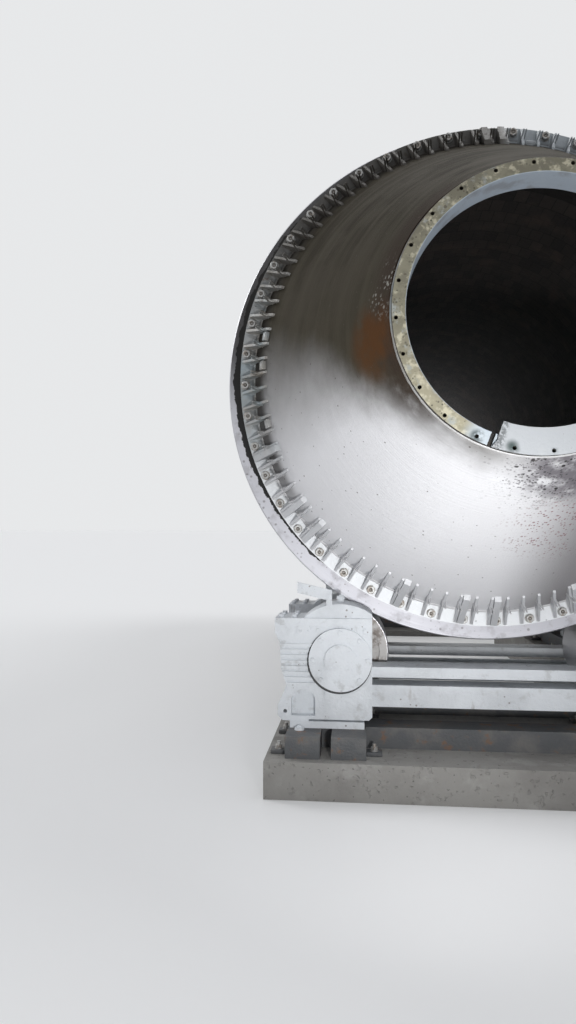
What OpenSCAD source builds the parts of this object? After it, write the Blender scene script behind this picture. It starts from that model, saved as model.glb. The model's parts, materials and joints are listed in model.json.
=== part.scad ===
// A short rotary kiln on two riding rings. The feed end (towards -Y) has a bolted, gusseted cone
// that narrows to a machined neck. The drum falls away from it by the slope of the kiln.
// Lengths are in millimetres. The origin is on the ground, under the feed riding ring's middle.

/* [Drum] */
// Outside radius of the shell
shell_r = 1700; // [1600:10:1760]
// Thickness of the shell plate between the riding rings
shell_wall = 30; // [20:5:45]
// Thickness of the shell plate under a riding ring
ring_course_wall = 50; // [40:5:70]
// Distance between the middles of the two riding rings
ring_spacing = 7000; // [6400:100:7400]
// Fall of the drum for each 100 mm of its length
slope_percent = 2.5; // [2:0.25:3]
// Length of the shell past the middle of the discharge riding ring
shell_tail = 1300; // [1000:50:1600]
// Thickness of the brick lining
lining_wall = 200; // [120:10:250]

/* [Riding rings] */
// Thickness of a riding ring from its bore to its face
ring_wall = 224.7; // [200:0.1:270]
// Width of a riding ring
ring_width = 500; // [420:10:560]
// Thickness of a filler bar between the shell and a riding ring
pad_wall = 50; // [30:5:60]
// Number of filler bars round the shell
pad_count = 24; // [16:4:28]
// Width of a filler bar
pad_width = 240; // [160:10:280]
// Height of the stop blocks that keep a riding ring in place
stop_height = 55; // [30:5:70]
// Length of a stop block along the drum
stop_length = 60; // [40:5:80]

/* [Feed head] */
// How far the bolted flanges stand out past the cone's base
flange_land = 110; // [100:5:140]
// Thickness of the head's flange
head_flange_wall = 60; // [40:5:80]
// Thickness of the shell's flange
shell_flange_wall = 60; // [40:5:80]
// Distance from the shell's flange to the side of the feed riding ring
flange_gap = 150; // [120:10:220]
// How far the cone's base stands out past the shell
cone_base_step = 30; // [15:5:60]
// Distance from the flange face to the neck face
head_length = 1660; // [1400:20:1800]
// Thickness of the cone
cone_wall = 60; // [40:5:80]
// Step from the neck out to the cone's small end
cone_top_step = 17; // [10:1:60]
// Number of gussets round the flange
gusset_count = 96; // [72:12:108]
// Thickness of a gusset
gusset_wall = 18; // [12:2:24]
// Height of a gusset in front of the flange
gusset_height = 200; // [150:10:260]
// Thickness of the bars that stand beside some gussets
bay_bar_wall = 46; // [36:2:56]
// Outside radius of the neck
neck_r = 771; // [765:1:776]
// Thickness of the neck
neck_wall = 74; // [64:1:90]
// Depth of the neck's bore
neck_depth = 190; // [150:10:240]
// How far the neck stands out of the cone
neck_stand = 48; // [30:2:80]
// Number of tapped holes in the neck face
neck_hole_count = 24; // [18:2:30]
// Distance from the neck's outside to the middles of the tapped holes
neck_hole_inset = 22; // [18:1:30]
// Radius of a tapped hole
neck_hole_r = 11; // [8:1:13]
// Depth of a tapped hole
neck_hole_depth = 55; // [40:5:70]
// Width of the slot cut in the neck
slot_width = 75; // [50:5:90]
// Depth of the slot cut in the neck
slot_depth = 40; // [20:5:60]
// Thickness of the liner segment left on the neck
segment_wall = 25; // [15:5:35]
// How far the liner segment stands into the bore
segment_lip = 67; // [40:1:100]
// Angle from straight down to each end of the liner segment
segment_half_angle = 21.4; // [15:0.2:30]

/* [Support rollers] */
// Radius of a support roller
roller_r = 360; // [340:5:380]
// Width of a support roller
roller_width = 540; // [510:10:600]
// Angle of a support roller from straight below the drum
roller_angle = 27.5; // [26:0.5:30]
// Radius of a roller shaft
shaft_r = 130; // [100:5:140]
// Gap between a roller and its bearing housing
housing_gap = 70; // [50:5:90]
// Length of a bearing housing along the shaft
housing_depth = 360; // [300:10:400]
// Distance from the roller axis down to the bed frame
seat_drop = 490; // [480:5:520]
// Number of cooling ribs on a bearing housing
rib_count = 8; // [5:1:9]
// Half angle of the thrust roller's cone
thrust_cone_angle = 9; // [8:0.5:10]
// Radius of the thrust roller's shaft
thrust_shaft_r = 80; // [60:5:100]

/* [Gear and drive] */
// Gear module, the pitch diameter over the number of teeth
gear_module = 36; // [34:1:37]
// How far the girth gear's pitch circle stands off the shell, which sets its number of teeth
gear_room = 388; // [360:2:430]
// Teeth on the pinion
pinion_teeth = 19; // [18:1:21]
// Face width of the girth gear
gear_width = 300; // [240:10:340]
// Distance of the girth gear from the feed riding ring
gear_place = 2600; // [2400:50:2800]
// Angle of the pinion from straight below the drum
pinion_angle = 40; // [39:0.5:42]
// Radius of the pinion shaft
pinion_shaft_r = 90; // [70:5:100]
// Number of spring plates that carry the girth gear
spring_count = 12; // [8:1:14]
// Thickness of a spring plate
spring_wall = 20; // [12:2:28]
// Radius of the motor's body
motor_r = 230; // [180:10:260]

/* [Stations] */
// Height of a steel bed frame
bed_height = 150; // [120:10:160]
// Length of a roller station along the drum
bed_length = 1900; // [1800:20:2100]
// Width of a bed frame's beams
beam_width = 240; // [200:10:260]
// Height of the concrete over the ground at the lowest end of the discharge pier
pier_least = 27; // [20:1:300]

/* [Hidden] */
$fn = 96;
slope = atan(slope_percent / 100);
// gap of curved faces that carry each other, running fit of a shaft, gap of bolted flat faces, gap of
// a stop block
seat_gap = 0.3;
shaft_fit = 0.05;
bolted_gap = 0.1;
stop_gap = 0.8;
eps = 1;

ring_face = ring_width / 2;
pad_r = shell_r + pad_wall;
ring_bore_r = pad_r + seat_gap;
ring_r = ring_bore_r + ring_wall;
cone_base_r = shell_r + cone_base_step;
flange_r = cone_base_r + flange_land;
cone_top_r = neck_r + cone_top_step;
neck_bore_r = neck_r - neck_wall;
neck_hole_circle_r = neck_r - neck_hole_inset;
segment_inner_r = neck_bore_r - segment_lip;
shell_start = -ring_face - flange_gap;
joint_y = shell_start - shell_flange_wall;
bolt_face = joint_y - head_flange_wall;
neck_y = bolt_face - head_length;
shell_end = ring_spacing + shell_tail;
lining_r = shell_r - ring_course_wall;
lining_bore_r = lining_r - lining_wall;
course_joint_1 = ring_face + 450;
course_joint_2 = ring_spacing - ring_face - 450;

// the cone's outside, from the corner at the flange to the step behind the neck
cone_top_y = neck_y + neck_stand;
cone_lean = (cone_base_r - cone_top_r) / (bolt_face - cone_top_y);
function cone_r(y) = cone_base_r - cone_lean * (bolt_face - y);

gusset_pitch = 360 / gusset_count;
bolt_phase = -1.55;
hole_pitch = 360 / neck_hole_count;
hole_phase = -3.17;
slot_angle = 180 + segment_half_angle + 0.5 * slot_width / neck_bore_r * 180 / PI;

roller_reach = ring_r + seat_gap + roller_r;
roller_x = roller_reach * sin(roller_angle);
roller_z = -roller_reach * cos(roller_angle);
seat_z = roller_z - seat_drop;
bed_bottom = seat_z - bed_height;
housing_near = roller_width / 2 + housing_gap;
housing_far = housing_near + housing_depth;

gear_teeth = round(2 * (shell_r + gear_room) / gear_module);
gear_pitch_r = gear_module * gear_teeth / 2;
pinion_pitch_r = gear_module * pinion_teeth / 2;
pressure_angle = 20;
tooth_thinning = 1.2;
gear_rim = 75;
gear_inner_r = gear_pitch_r - 1.25 * gear_module - gear_rim;
drive_reach = gear_pitch_r + pinion_pitch_r;
pinion_x = drive_reach * sin(pinion_angle);
pinion_z = -drive_reach * cos(pinion_angle);

// details of the feed head
cone_drop = cone_wall * sqrt(1 + cone_lean * cone_lean);
cone_meets_neck_y = cone_top_y + (neck_r + cone_drop - cone_top_r) / cone_lean;
gusset_phase = bolt_phase + gusset_pitch / 2;
gusset_inset = 8;
gusset_heel = 14;
gusset_toe = 16;
bay_bar_slit = 3;
bar_gussets = [0, 1, 43, 48, 50, 54, 61, 63, 67];
block_bays = [2, 68, 72, 74];
bar_proud = 22;
bar_rise = 10;
block_inset = 10;
bay_block_y = bolt_face - gusset_height + block_inset;
bay_block_width = 78;
bay_block_wall = 45;
bay_block_length = 60;
ring_chamfer = 8;

// details of the rollers and their bearings, measured from the shaft's axis
shaft_end_gap = 12;
shoulder = 40;
shoulder_gap = 8;
dish_depth = 25;
dish_rim = 70;
housing_inner = 228;
housing_top = 267;
shoulder_x = 472;
waist_x = 388;
waist_z = -185;
waist_height = 110;
ear_x = 450;
ear_height = 110;
ear_hole_r = 14;
corner = 36;
split_wall = 26;
flange_proud = 14;
hoist_x = 262;
hoist_z = 205;
hoist_r = 50;
drain_x = 56;
drain_z = -262;
drain_r = 60;
sole_wall = 48;
foot_z = sole_wall - seat_drop;
sole_outer = 361;
sole_inner = 172;
sole_margin = 12;
slit = 12;
slit_start = -226;
slit_depth = 60;
rib_bottom = -178;
rib_top = 100;
rib_wall = 20;
rib_proud = 16;
pocket_x = 266;
pocket_z = 302;
pocket_r = 86;
pocket_depth = 70;
lid_r = 394;
lid_inset = 12;
cover_r = 225;
cover_wall = 38;
cap_r = 112;
cap_wall = 25;
strip_start = 311;
strip_end = 60;
strip_z = 472;
strip_height = 80;
strip_fall = 0.23;
strip_leg = 40;
strip_wall = 15;
tie_low = 345;
tie_low_height = 155;
tie_high = 135;
tie_high_height = 75;
tie_margin = 70;
nose_lip = 40;
nose_hook = 120;

// details of the stations
pier_margin = 150;
pier_half_width = roller_x + sole_outer + pier_margin;
pier_half_length = bed_length / 2 + pier_margin;
axis_height = pier_least - bed_bottom * cos(slope)
    + (ring_spacing + pier_half_length / cos(slope)) * sin(slope);
thrust_margin = 15;
thrust_top_r = pad_r + stop_height + 2 * thrust_margin;
thrust_bottom_r = ring_r + thrust_margin;
thrust_gap = 10;
thrust_block_gap = 95;
thrust_block_top = ring_r + thrust_block_gap;
thrust_shaft_length = 350;
thrust_shaft_end = thrust_block_top + thrust_shaft_length;
thrust_block_r = 190;
thrust_block_wall = 60;
bracket_lead = 30;
bracket_half_width = 260;
bracket_length = 620;
bracket_base = 130;
bracket_web = 60;
bracket_web_height = 330;
bracket_inset = 20;

// details of the drive, measured from the pinion's axis
drive_seat = -420;
drive_bed_wall = 150;
drive_bed_margin = 120;
pinion_margin = 10;
bearing_gap = 40;
bearing_depth = 180;
bearing_r = 190;
bearing_spread = 70;
bearing_foot = 110;
shaft_proud = 30;
split_half = 25;
coupling_r = 170;
coupling_wall = 45;
coupling_step = 40;
coupling_hub = 60;
coupling_place = 150;
coupling_room = 330;
reducer_y = gear_place + gear_width / 2 + 2 * bearing_gap + bearing_depth + coupling_room;
reducer_depth = 520;
reducer_near = 300;
reducer_far = 880;
reducer_top = 320;
reducer_low_top = 200;
reducer_slope = 160;
reducer_margin = 30;
reducer_foot_wall = 45;
reducer_foot = 60;
reducer_rib = 24;
reducer_rib_pitch = 340;
reducer_neck_r = 150;
shaft_depth = 200;
motor_shift = 620;
guard_room = 360;
guard_half = 120;
motor_y = reducer_y + reducer_depth + guard_room;
motor_length = 820;
motor_band = 40;
motor_band_proud = 20;
motor_hood = 130;
fin_wall = 10;
fin_proud = 18;
terminal_depth = 130;
terminal_length = 240;
terminal_height = 200;
drive_bed_near = 360;
drive_bed_far = motor_shift + motor_r + terminal_depth;
drive_bed_start = gear_place - gear_width / 2 - bearing_gap - bearing_depth - drive_bed_margin;
drive_bed_end = motor_y + motor_length + 60;

FEED_HEAD = ["feed_neck", "neck_liner_segment", "feed_cone", "head_flange",
    "flange_gussets", "bay_bars"];
DRUM = ["shell_flange", "feed_course", "middle_course", "discharge_course", "feed_ring_pads",
    "feed_riding_ring", "discharge_ring_pads", "discharge_riding_ring", "girth_gear",
    "gear_spring_plates", "nose_ring", "brick_lining"];
FEED_STATION = ["feed_left_roller", "feed_right_roller", "feed_left_housings", "feed_right_housings",
    "feed_housing_lids", "feed_end_covers", "tie_beams", "feed_bed_frame", "feed_pier", "guard_strip"];
DISCHARGE_STATION = ["discharge_left_roller", "discharge_right_roller", "discharge_left_housings",
    "discharge_right_housings", "discharge_housing_lids", "discharge_end_covers",
    "discharge_bed_frame", "discharge_pier", "thrust_roller", "thrust_bracket"];
DRIVE = ["pinion", "pinion_bearings", "gear_reducer", "drive_motor", "coupling_guard",
    "drive_bed_frame", "drive_pier"];

cone_steel = [0.46, 0.43, 0.37];
pale_steel = [0.70, 0.73, 0.74];
bright_steel = [0.78, 0.79, 0.82];
shell_steel = [0.40, 0.39, 0.38];
white_paint = [0.88, 0.89, 0.90];
bed_grey = [0.24, 0.25, 0.27];
concrete = [0.55, 0.54, 0.51];
brick = [0.45, 0.33, 0.26];
drive_blue = [0.32, 0.38, 0.42];

// From the drum's own frame, with its axis along Y, to its sloping place over the ground.
module placed() {
    translate([0, 0, axis_height]) rotate([-slope, 0, 0]) children();
}

// A turned shape about the Y axis, from a section of radius and place along the axis.
module turned() {
    rotate([-90, 0, 0]) rotate_extrude() children();
}

// A plain ring about the Y axis.
module ring(outer, inner, y0, y1) {
    turned() translate([inner, y0]) square([outer - inner, y1 - y0]);
}

// A plate whose section is drawn in radius and place along the axis, standing straight up from it.
module radial_plate(wall) {
    rotate([0, -90, 0]) translate([0, 0, -wall / 2]) linear_extrude(wall) children();
}

// Turned clockwise about the drum axis, as seen from the feed end, from straight up.
module clock(angle) {
    rotate([0, angle, 0]) children();
}

// A cylinder along the Y axis.
module rod(r, y0, y1) {
    translate([0, y0, 0]) rotate([-90, 0, 0]) cylinder(r = r, h = y1 - y0);
}

// A box between two corners.
module block(low, high) {
    translate(low) cube(high - low);
}

// A profile drawn in X and Z, pushed along the Y axis.
module slab(y0, y1) {
    translate([0, y1, 0]) rotate([90, 0, 0]) linear_extrude(y1 - y0) children();
}

// FEED HEAD

module neck_holes(y0) {
    for (i = [0 : neck_hole_count - 1])
        clock(hole_phase + i * hole_pitch) translate([0, 0, neck_hole_circle_r])
            rod(neck_hole_r, y0, neck_y + neck_hole_depth);
}

module feed_neck() {
    color(pale_steel) placed() difference() {
        ring(neck_r, neck_bore_r, neck_y, neck_y + neck_depth);
        neck_holes(neck_y - eps);
        clock(slot_angle) block([-slot_width / 2, neck_y - eps, neck_bore_r - slot_width],
            [slot_width / 2, neck_y + slot_depth, neck_r + slot_width]);
    }
}

module neck_liner_segment() {
    color(bright_steel) placed() difference() {
        rotate([-90, 0, 0]) rotate([0, 0, 90 - segment_half_angle])
            rotate_extrude(angle = 2 * segment_half_angle) translate([segment_inner_r, neck_y - segment_wall])
                square([neck_r - segment_inner_r, segment_wall]);
        neck_holes(neck_y - segment_wall - eps);
    }
}

module feed_cone() {
    color(cone_steel) placed() turned()
        polygon([[cone_base_r, bolt_face], [cone_top_r, cone_top_y], [neck_r, cone_top_y],
            [neck_r, cone_meets_neck_y], [cone_base_r - cone_drop, bolt_face]]);
}

// The side of a gusset, from the flange's face to the cone.
module gusset_side(rise, proud) {
    top_y = bolt_face - rise;
    polygon([[cone_base_r, bolt_face], [flange_r - gusset_inset, bolt_face],
        [flange_r - gusset_inset, bolt_face - gusset_heel - proud], [cone_r(top_y) + gusset_toe + proud, top_y],
        [cone_r(top_y), top_y]]);
}

module head_flange() {
    color(pale_steel) placed() ring(flange_r, cone_base_r - cone_drop, bolt_face, joint_y);
}

module flange_gussets() {
    color(pale_steel) placed() for (i = [0 : gusset_count - 1])
        clock(gusset_phase + i * gusset_pitch) radial_plate(gusset_wall) gusset_side(gusset_height, 0);
}

// Bars set beside some of the gussets, and short blocks that close some of the bays at the cone.
module bay_bars() {
    shift = gusset_wall / 2 + bay_bar_slit + bay_bar_wall / 2;
    color(pale_steel) placed() {
        for (i = bar_gussets)
            clock(gusset_phase + i * gusset_pitch) translate([-shift, 0, 0])
                radial_plate(bay_bar_wall) gusset_side(gusset_height + bar_rise, bar_proud);
        for (i = block_bays)
            clock(gusset_phase + (i + 0.5) * gusset_pitch) radial_plate(bay_block_width)
                translate([cone_r(bay_block_y), bay_block_y])
                    polygon([[0, 0], [bay_block_wall, 0], [bay_block_wall + bay_block_length * cone_lean,
                        bay_block_length], [bay_block_length * cone_lean, bay_block_length]]);
    }
}

// SHELL

module shell_flange() {
    color(pale_steel) placed() ring(flange_r, shell_r, joint_y, shell_start);
}

module feed_course() {
    color(shell_steel) placed() ring(shell_r, shell_r - ring_course_wall, joint_y, course_joint_1);
}

module middle_course() {
    color(shell_steel) placed() ring(shell_r, shell_r - shell_wall, course_joint_1, course_joint_2);
}

module discharge_course() {
    color(shell_steel) placed() ring(shell_r, shell_r - ring_course_wall, course_joint_2, shell_end);
}

module nose_ring() {
    color(cone_steel) placed() turned()
        polygon([[shell_r, shell_end - nose_hook], [shell_r + nose_lip, shell_end - nose_hook],
            [shell_r + nose_lip, shell_end], [shell_r, shell_end + nose_lip],
            [lining_bore_r + nose_lip, shell_end + nose_lip], [lining_bore_r, shell_end],
            [shell_r, shell_end]]);
}

module brick_lining() {
    color(brick) placed() turned()
        polygon([[lining_bore_r, shell_start], [lining_r, shell_start], [lining_r, course_joint_1],
            [shell_r - shell_wall, course_joint_1], [shell_r - shell_wall, course_joint_2],
            [lining_r, course_joint_2], [lining_r, shell_end], [lining_bore_r, shell_end]]);
}

// RIDING RINGS

module ring_pads() {
    reach = ring_face + stop_gap + stop_length;
    width_angle = pad_width / shell_r * 180 / PI;
    for (i = [0 : pad_count - 1])
        clock(i * 360 / pad_count) rotate([-90, 0, 0]) rotate([0, 0, -90 - width_angle / 2])
            rotate_extrude(angle = width_angle)
                polygon([[shell_r, -reach], [pad_r + stop_height, -reach],
                    [pad_r + stop_height, -reach + stop_length], [pad_r, -reach + stop_length],
                    [pad_r, reach - stop_length], [pad_r + stop_height, reach - stop_length],
                    [pad_r + stop_height, reach], [shell_r, reach]]);
}

module riding_ring() {
    turned() polygon([[ring_bore_r, -ring_face], [ring_r - ring_chamfer, -ring_face],
        [ring_r, -ring_face + ring_chamfer], [ring_r, ring_face - ring_chamfer],
        [ring_r - ring_chamfer, ring_face], [ring_bore_r, ring_face]]);
}

module feed_ring_pads() {
    color(shell_steel) placed() ring_pads();
}

module feed_riding_ring() {
    color(bright_steel) placed() riding_ring();
}

module discharge_ring_pads() {
    color(shell_steel) placed() translate([0, ring_spacing, 0]) ring_pads();
}

module discharge_riding_ring() {
    color(bright_steel) placed() translate([0, ring_spacing, 0]) riding_ring();
}

// SUPPORT ROLLERS AND THEIR BEARINGS
// Each is drawn about its own shaft, for the roller left of the drum, and mirrored for the right one.

module at_roller(side, station) {
    placed() translate([side * roller_x, station * ring_spacing, roller_z]) scale_side(side) children();
}

module scale_side(side) {
    if (side > 0) mirror([1, 0, 0]) children();
    else children();
}

// Twice, for the bearing towards the feed end and the one towards the discharge end.
module both_ends() {
    children();
    mirror([0, 1, 0]) children();
}

module roller() {
    half = roller_width / 2;
    end = housing_far - shaft_end_gap;
    turned() polygon([[0, -end], [shaft_r, -end], [shaft_r, -housing_near + shoulder_gap],
        [shaft_r + shoulder, -housing_near + shoulder_gap], [shaft_r + shoulder, -half + dish_depth],
        [roller_r - dish_rim, -half + dish_depth], [roller_r - dish_rim, -half],
        [roller_r - ring_chamfer, -half], [roller_r, -half + ring_chamfer],
        [roller_r, half - ring_chamfer], [roller_r - ring_chamfer, half], [roller_r - dish_rim, half],
        [roller_r - dish_rim, half - dish_depth], [shaft_r + shoulder, half - dish_depth],
        [shaft_r + shoulder, housing_near - shoulder_gap], [shaft_r, housing_near - shoulder_gap],
        [shaft_r, end], [0, end]]);
}

module feed_left_roller() {
    color(bright_steel) at_roller(-1, 0) roller();
}

module feed_right_roller() {
    color(bright_steel) at_roller(1, 0) roller();
}

module discharge_left_roller() {
    color(bright_steel) at_roller(-1, 1) roller();
}

module discharge_right_roller() {
    color(bright_steel) at_roller(1, 1) roller();
}

// The outline of the cast body: wide at the split, waisted, with a jacking ear at the outer foot.
module housing_outline() {
    polygon([[-sole_outer, foot_z], [corner - ear_x, foot_z], [-ear_x, foot_z + corner],
        [-ear_x, foot_z + ear_height], [-waist_x - corner / 2, waist_z - waist_height / 2], [-waist_x, waist_z],
        [-waist_x - corner, waist_z + waist_height], [corner - shoulder_x, cover_r / 2],
        [-shoulder_x, cover_r / 2 + 2 * corner], [-shoulder_x, housing_top], [housing_inner, housing_top],
        [housing_inner, foot_z + corner], [housing_inner - corner, foot_z]]);
}

// Cooling ribs run across the front from the outer side to the end cover.
module rib_bands() {
    rib_pitch = (rib_top - rib_bottom) / (rib_count - 1);
    for (i = [0 : rib_count - 1])
        translate([-shoulder_x, rib_bottom + i * rib_pitch - rib_wall / 2])
            square([shoulder_x - shaft_r, rib_wall]);
}

module housing() {
    front = -housing_far;
    difference() {
        union() {
            slab(front, -housing_near) housing_outline();
            slab(front - rib_proud, front + eps) intersection() {
                housing_outline();
                rib_bands();
            }
            block([-shoulder_x, front - flange_proud, housing_top - split_wall],
                [housing_inner, -housing_near, housing_top]);
            translate([-hoist_x, 0, hoist_z]) rod(hoist_r, front - flange_proud, front + eps);
            translate([-drain_x, 0, drain_z]) rod(drain_r, front - flange_proud, front + eps);
            block([-sole_outer, front - sole_margin, -seat_drop], [sole_inner, -housing_near, foot_z]);
        }
        rod(shaft_r + shaft_fit, front - eps, eps - housing_near);
        rod(cover_r + seat_gap, front - 2 * rib_proud, front);
        slab(front - 2 * rib_proud, front + pocket_depth) union() {
            translate([-pocket_x, -pocket_z]) circle(r = pocket_r);
            translate([-pocket_x - pocket_r, foot_z + corner]) square([2 * pocket_r, -foot_z - corner - pocket_z]);
        }
        translate([corner * 1.5 - ear_x, 0, foot_z + ear_height * 0.6])
            rod(ear_hole_r, front - eps, eps - housing_near);
        block([-hoist_x - hoist_r * 0.7, front - 2 * flange_proud, hoist_z - slit / 2],
            [hoist_r * 0.7 - hoist_x, front, hoist_z + slit / 2]);
        block([slit_start, front - 2 * sole_margin, foot_z], [housing_inner + eps, front + slit_depth,
            foot_z + slit]);
    }
}

// The lid is a half-round cap on a flange that closes the body.
module housing_lid() {
    top = housing_top + split_wall;
    union() {
        slab(lid_inset - housing_far, -housing_near - lid_inset) intersection() {
            circle(r = lid_r);
            translate([-lid_r, top - eps]) square([lid_r + housing_inner, lid_r]);
        }
        block([-shoulder_x, -housing_far - flange_proud, housing_top], [housing_inner, -housing_near, top]);
    }
}

module end_cover() {
    turned() polygon([[0, -housing_far], [0, -housing_far - cover_wall - cap_wall],
        [cap_r, -housing_far - cover_wall - cap_wall], [cap_r, -housing_far - cover_wall],
        [cover_r, -housing_far - cover_wall], [cover_r, -housing_far]]);
}

module feed_left_housings() {
    color(white_paint) at_roller(-1, 0) both_ends() housing();
}

module feed_right_housings() {
    color(white_paint) at_roller(1, 0) both_ends() housing();
}

module discharge_left_housings() {
    color(white_paint) at_roller(-1, 1) both_ends() housing();
}

module discharge_right_housings() {
    color(white_paint) at_roller(1, 1) both_ends() housing();
}

module feed_housing_lids() {
    color(white_paint) for (side = [-1, 1]) at_roller(side, 0) both_ends() housing_lid();
}

module discharge_housing_lids() {
    color(white_paint) for (side = [-1, 1]) at_roller(side, 1) both_ends() housing_lid();
}

module feed_end_covers() {
    color(white_paint) for (side = [-1, 1]) at_roller(side, 0) both_ends() end_cover();
}

module discharge_end_covers() {
    color(white_paint) for (side = [-1, 1]) at_roller(side, 1) both_ends() end_cover();
}

// A sloping flat bar over the photographed housing, on a short leg that stands on the lid.
module guard_strip() {
    drop = (strip_start - strip_end) * strip_fall;
    color(white_paint) at_roller(-1, 0) slab(lid_inset - housing_far, lid_inset + strip_wall - housing_far)
        difference() {
            polygon([[-strip_start, strip_z], [-strip_end - strip_leg, strip_z - drop + strip_leg * strip_fall],
                [-strip_end - strip_leg, 0], [-strip_end, 0], [-strip_end, strip_z + strip_height - drop],
                [-strip_start, strip_z + strip_height]]);
            circle(r = lid_r + seat_gap);
        }
}

// BED FRAMES AND PIERS

module bed_frame() {
    outer = roller_x + sole_outer + sole_margin;
    inner = roller_x - sole_inner - sole_margin;
    half = bed_length / 2;
    tie_y = housing_near + housing_depth / 2;
    for (side = [-1, 1]) {
        for (x = [outer - beam_width, inner])
            translate([side > 0 ? x : -x - beam_width, -half, bed_bottom])
                cube([beam_width, bed_length, bed_height]);
        block([-outer, side * tie_y - beam_width / 2, bed_bottom],
            [outer, side * tie_y + beam_width / 2, seat_z]);
    }
}

// Two girders between the left and right housings. The thrust roller takes their place at one end.
module tie_pair() {
    reach = roller_x - housing_inner - bolted_gap;
    block([-reach, tie_margin - housing_far, -tie_low], [reach, -housing_near - tie_margin,
        tie_low_height - tie_low]);
    block([-reach, tie_margin - housing_far, -tie_high], [reach, -housing_near - tie_margin,
        tie_high_height - tie_high]);
}

module tie_beams() {
    color(white_paint) placed() {
        translate([0, 0, roller_z]) both_ends() tie_pair();
        translate([0, ring_spacing, roller_z]) tie_pair();
    }
}

// A block of concrete from level ground up to the sloping underside of the bed frame.
module pier(x0, x1, y0, y1, top_z) {
    difference() {
        block([x0, y0, 0], [x1, y1, axis_height]);
        placed() block([x0 - pier_margin, y0 - pier_margin * 2, top_z],
            [x1 + pier_margin, y1 + pier_margin * 2, top_z + 2 * axis_height]);
    }
}

module feed_bed_frame() {
    color(bed_grey) placed() bed_frame();
}

module discharge_bed_frame() {
    color(bed_grey) placed() translate([0, ring_spacing, 0]) bed_frame();
}

module feed_pier() {
    color(concrete) pier(-pier_half_width, pier_half_width, -pier_half_length, pier_half_length,
        bed_bottom);
}

module discharge_pier() {
    place = ring_spacing * cos(slope) + bed_bottom * sin(slope);
    color(concrete) pier(-pier_half_width, pier_half_width, place - pier_half_length,
        place + pier_half_length, bed_bottom);
}

// THRUST ROLLER
// A cone on the downhill side of the discharge riding ring. Its point lies on the drum axis.

module at_thrust() {
    placed() translate([0, ring_spacing + ring_face + seat_gap, 0]) rotate([thrust_cone_angle, 0, 0]) children();
}

module thrust_roller() {
    top = thrust_top_r * cos(thrust_cone_angle);
    bottom = thrust_bottom_r * cos(thrust_cone_angle);
    widen = tan(thrust_cone_angle);
    color(bright_steel) at_thrust() rotate_extrude()
        polygon([[0, -top], [top * widen, -top], [bottom * widen, -bottom],
            [thrust_shaft_r + shoulder, -bottom], [thrust_shaft_r + shoulder, -thrust_block_top + thrust_gap],
            [thrust_shaft_r, -thrust_block_top + thrust_gap], [thrust_shaft_r, -thrust_shaft_end],
            [0, -thrust_shaft_end]]);
}

module thrust_bracket() {
    y0 = ring_spacing + ring_face + seat_gap + bracket_lead;
    block_end = thrust_shaft_end + thrust_block_wall;
    color(white_paint) difference() {
        union() {
            at_thrust() translate([0, 0, -block_end]) cylinder(r = thrust_block_r,
                h = block_end - thrust_block_top);
            placed() block([-bracket_half_width, y0, seat_z], [bracket_half_width, y0 + bracket_length,
                seat_z + bracket_base]);
            placed() block([-bracket_web / 2, y0 + bracket_inset, seat_z + bracket_base - eps],
                [bracket_web / 2, y0 + bracket_length - bracket_inset, seat_z + bracket_web_height]);
        }
        at_thrust() translate([0, 0, -thrust_shaft_end - thrust_gap / 2])
            cylinder(r = thrust_shaft_r + shaft_fit, h = thrust_shaft_end);
        placed() block([-bracket_length, y0 - bracket_length, seat_z - bracket_length],
            [bracket_length, y0 + 2 * bracket_length, seat_z]);
    }
}

// GEAR AND DRIVE

// How far round from a tooth's middle its side lies, in degrees, at radius r on an involute tooth.
function involute(a) = tan(a) - a * PI / 180;
function tooth_side(r, teeth, pitch_r) =
    90 / teeth - tooth_thinning / 4 / pitch_r * 180 / PI
    + (involute(pressure_angle) - involute(acos(min(1, pitch_r * cos(pressure_angle) / r)))) * 180 / PI;

module toothed(teeth, pitch_r) {
    radii = [pitch_r - 1.25 * gear_module, pitch_r - 0.1 * gear_module, pitch_r + gear_module];
    polygon([for (i = [0 : teeth - 1]) for (k = [-3, -2, -1, 1, 2, 3])
        let (r = radii[3 - abs(k) == 0 ? 0 : 3 - abs(k)],
            a = i * 360 / teeth + sign(k) * tooth_side(r, teeth, pitch_r))
        [r * cos(a), r * sin(a)]]);
}

// A tooth of the girth gear points at the pinion, and meets a gap of the pinion's there.
module girth_gear() {
    color(shell_steel) placed() translate([0, gear_place - gear_width / 2, 0]) rotate([-90, 0, 0]) difference() {
        rotate([0, 0, 90 - pinion_angle]) linear_extrude(gear_width) toothed(gear_teeth, gear_pitch_r);
        translate([0, 0, -eps]) cylinder(r = gear_inner_r, h = gear_width + 2 * eps);
    }
}

// Flat plates leave the shell at a tangent and end inside the gear's rim.
module gear_spring_plates() {
    start = 60;
    half = gear_width / 2 - 20;
    color(shell_steel) placed() for (i = [0 : spring_count - 1])
        clock(i * 360 / spring_count) intersection() {
            block([-start, gear_place - half, shell_r], [gear_inner_r, gear_place + half, shell_r + spring_wall]);
            rod(gear_inner_r, gear_place - half - eps, gear_place + half + eps);
        }
}

module at_pinion() {
    placed() translate([pinion_x, 0, pinion_z]) children();
}

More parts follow.
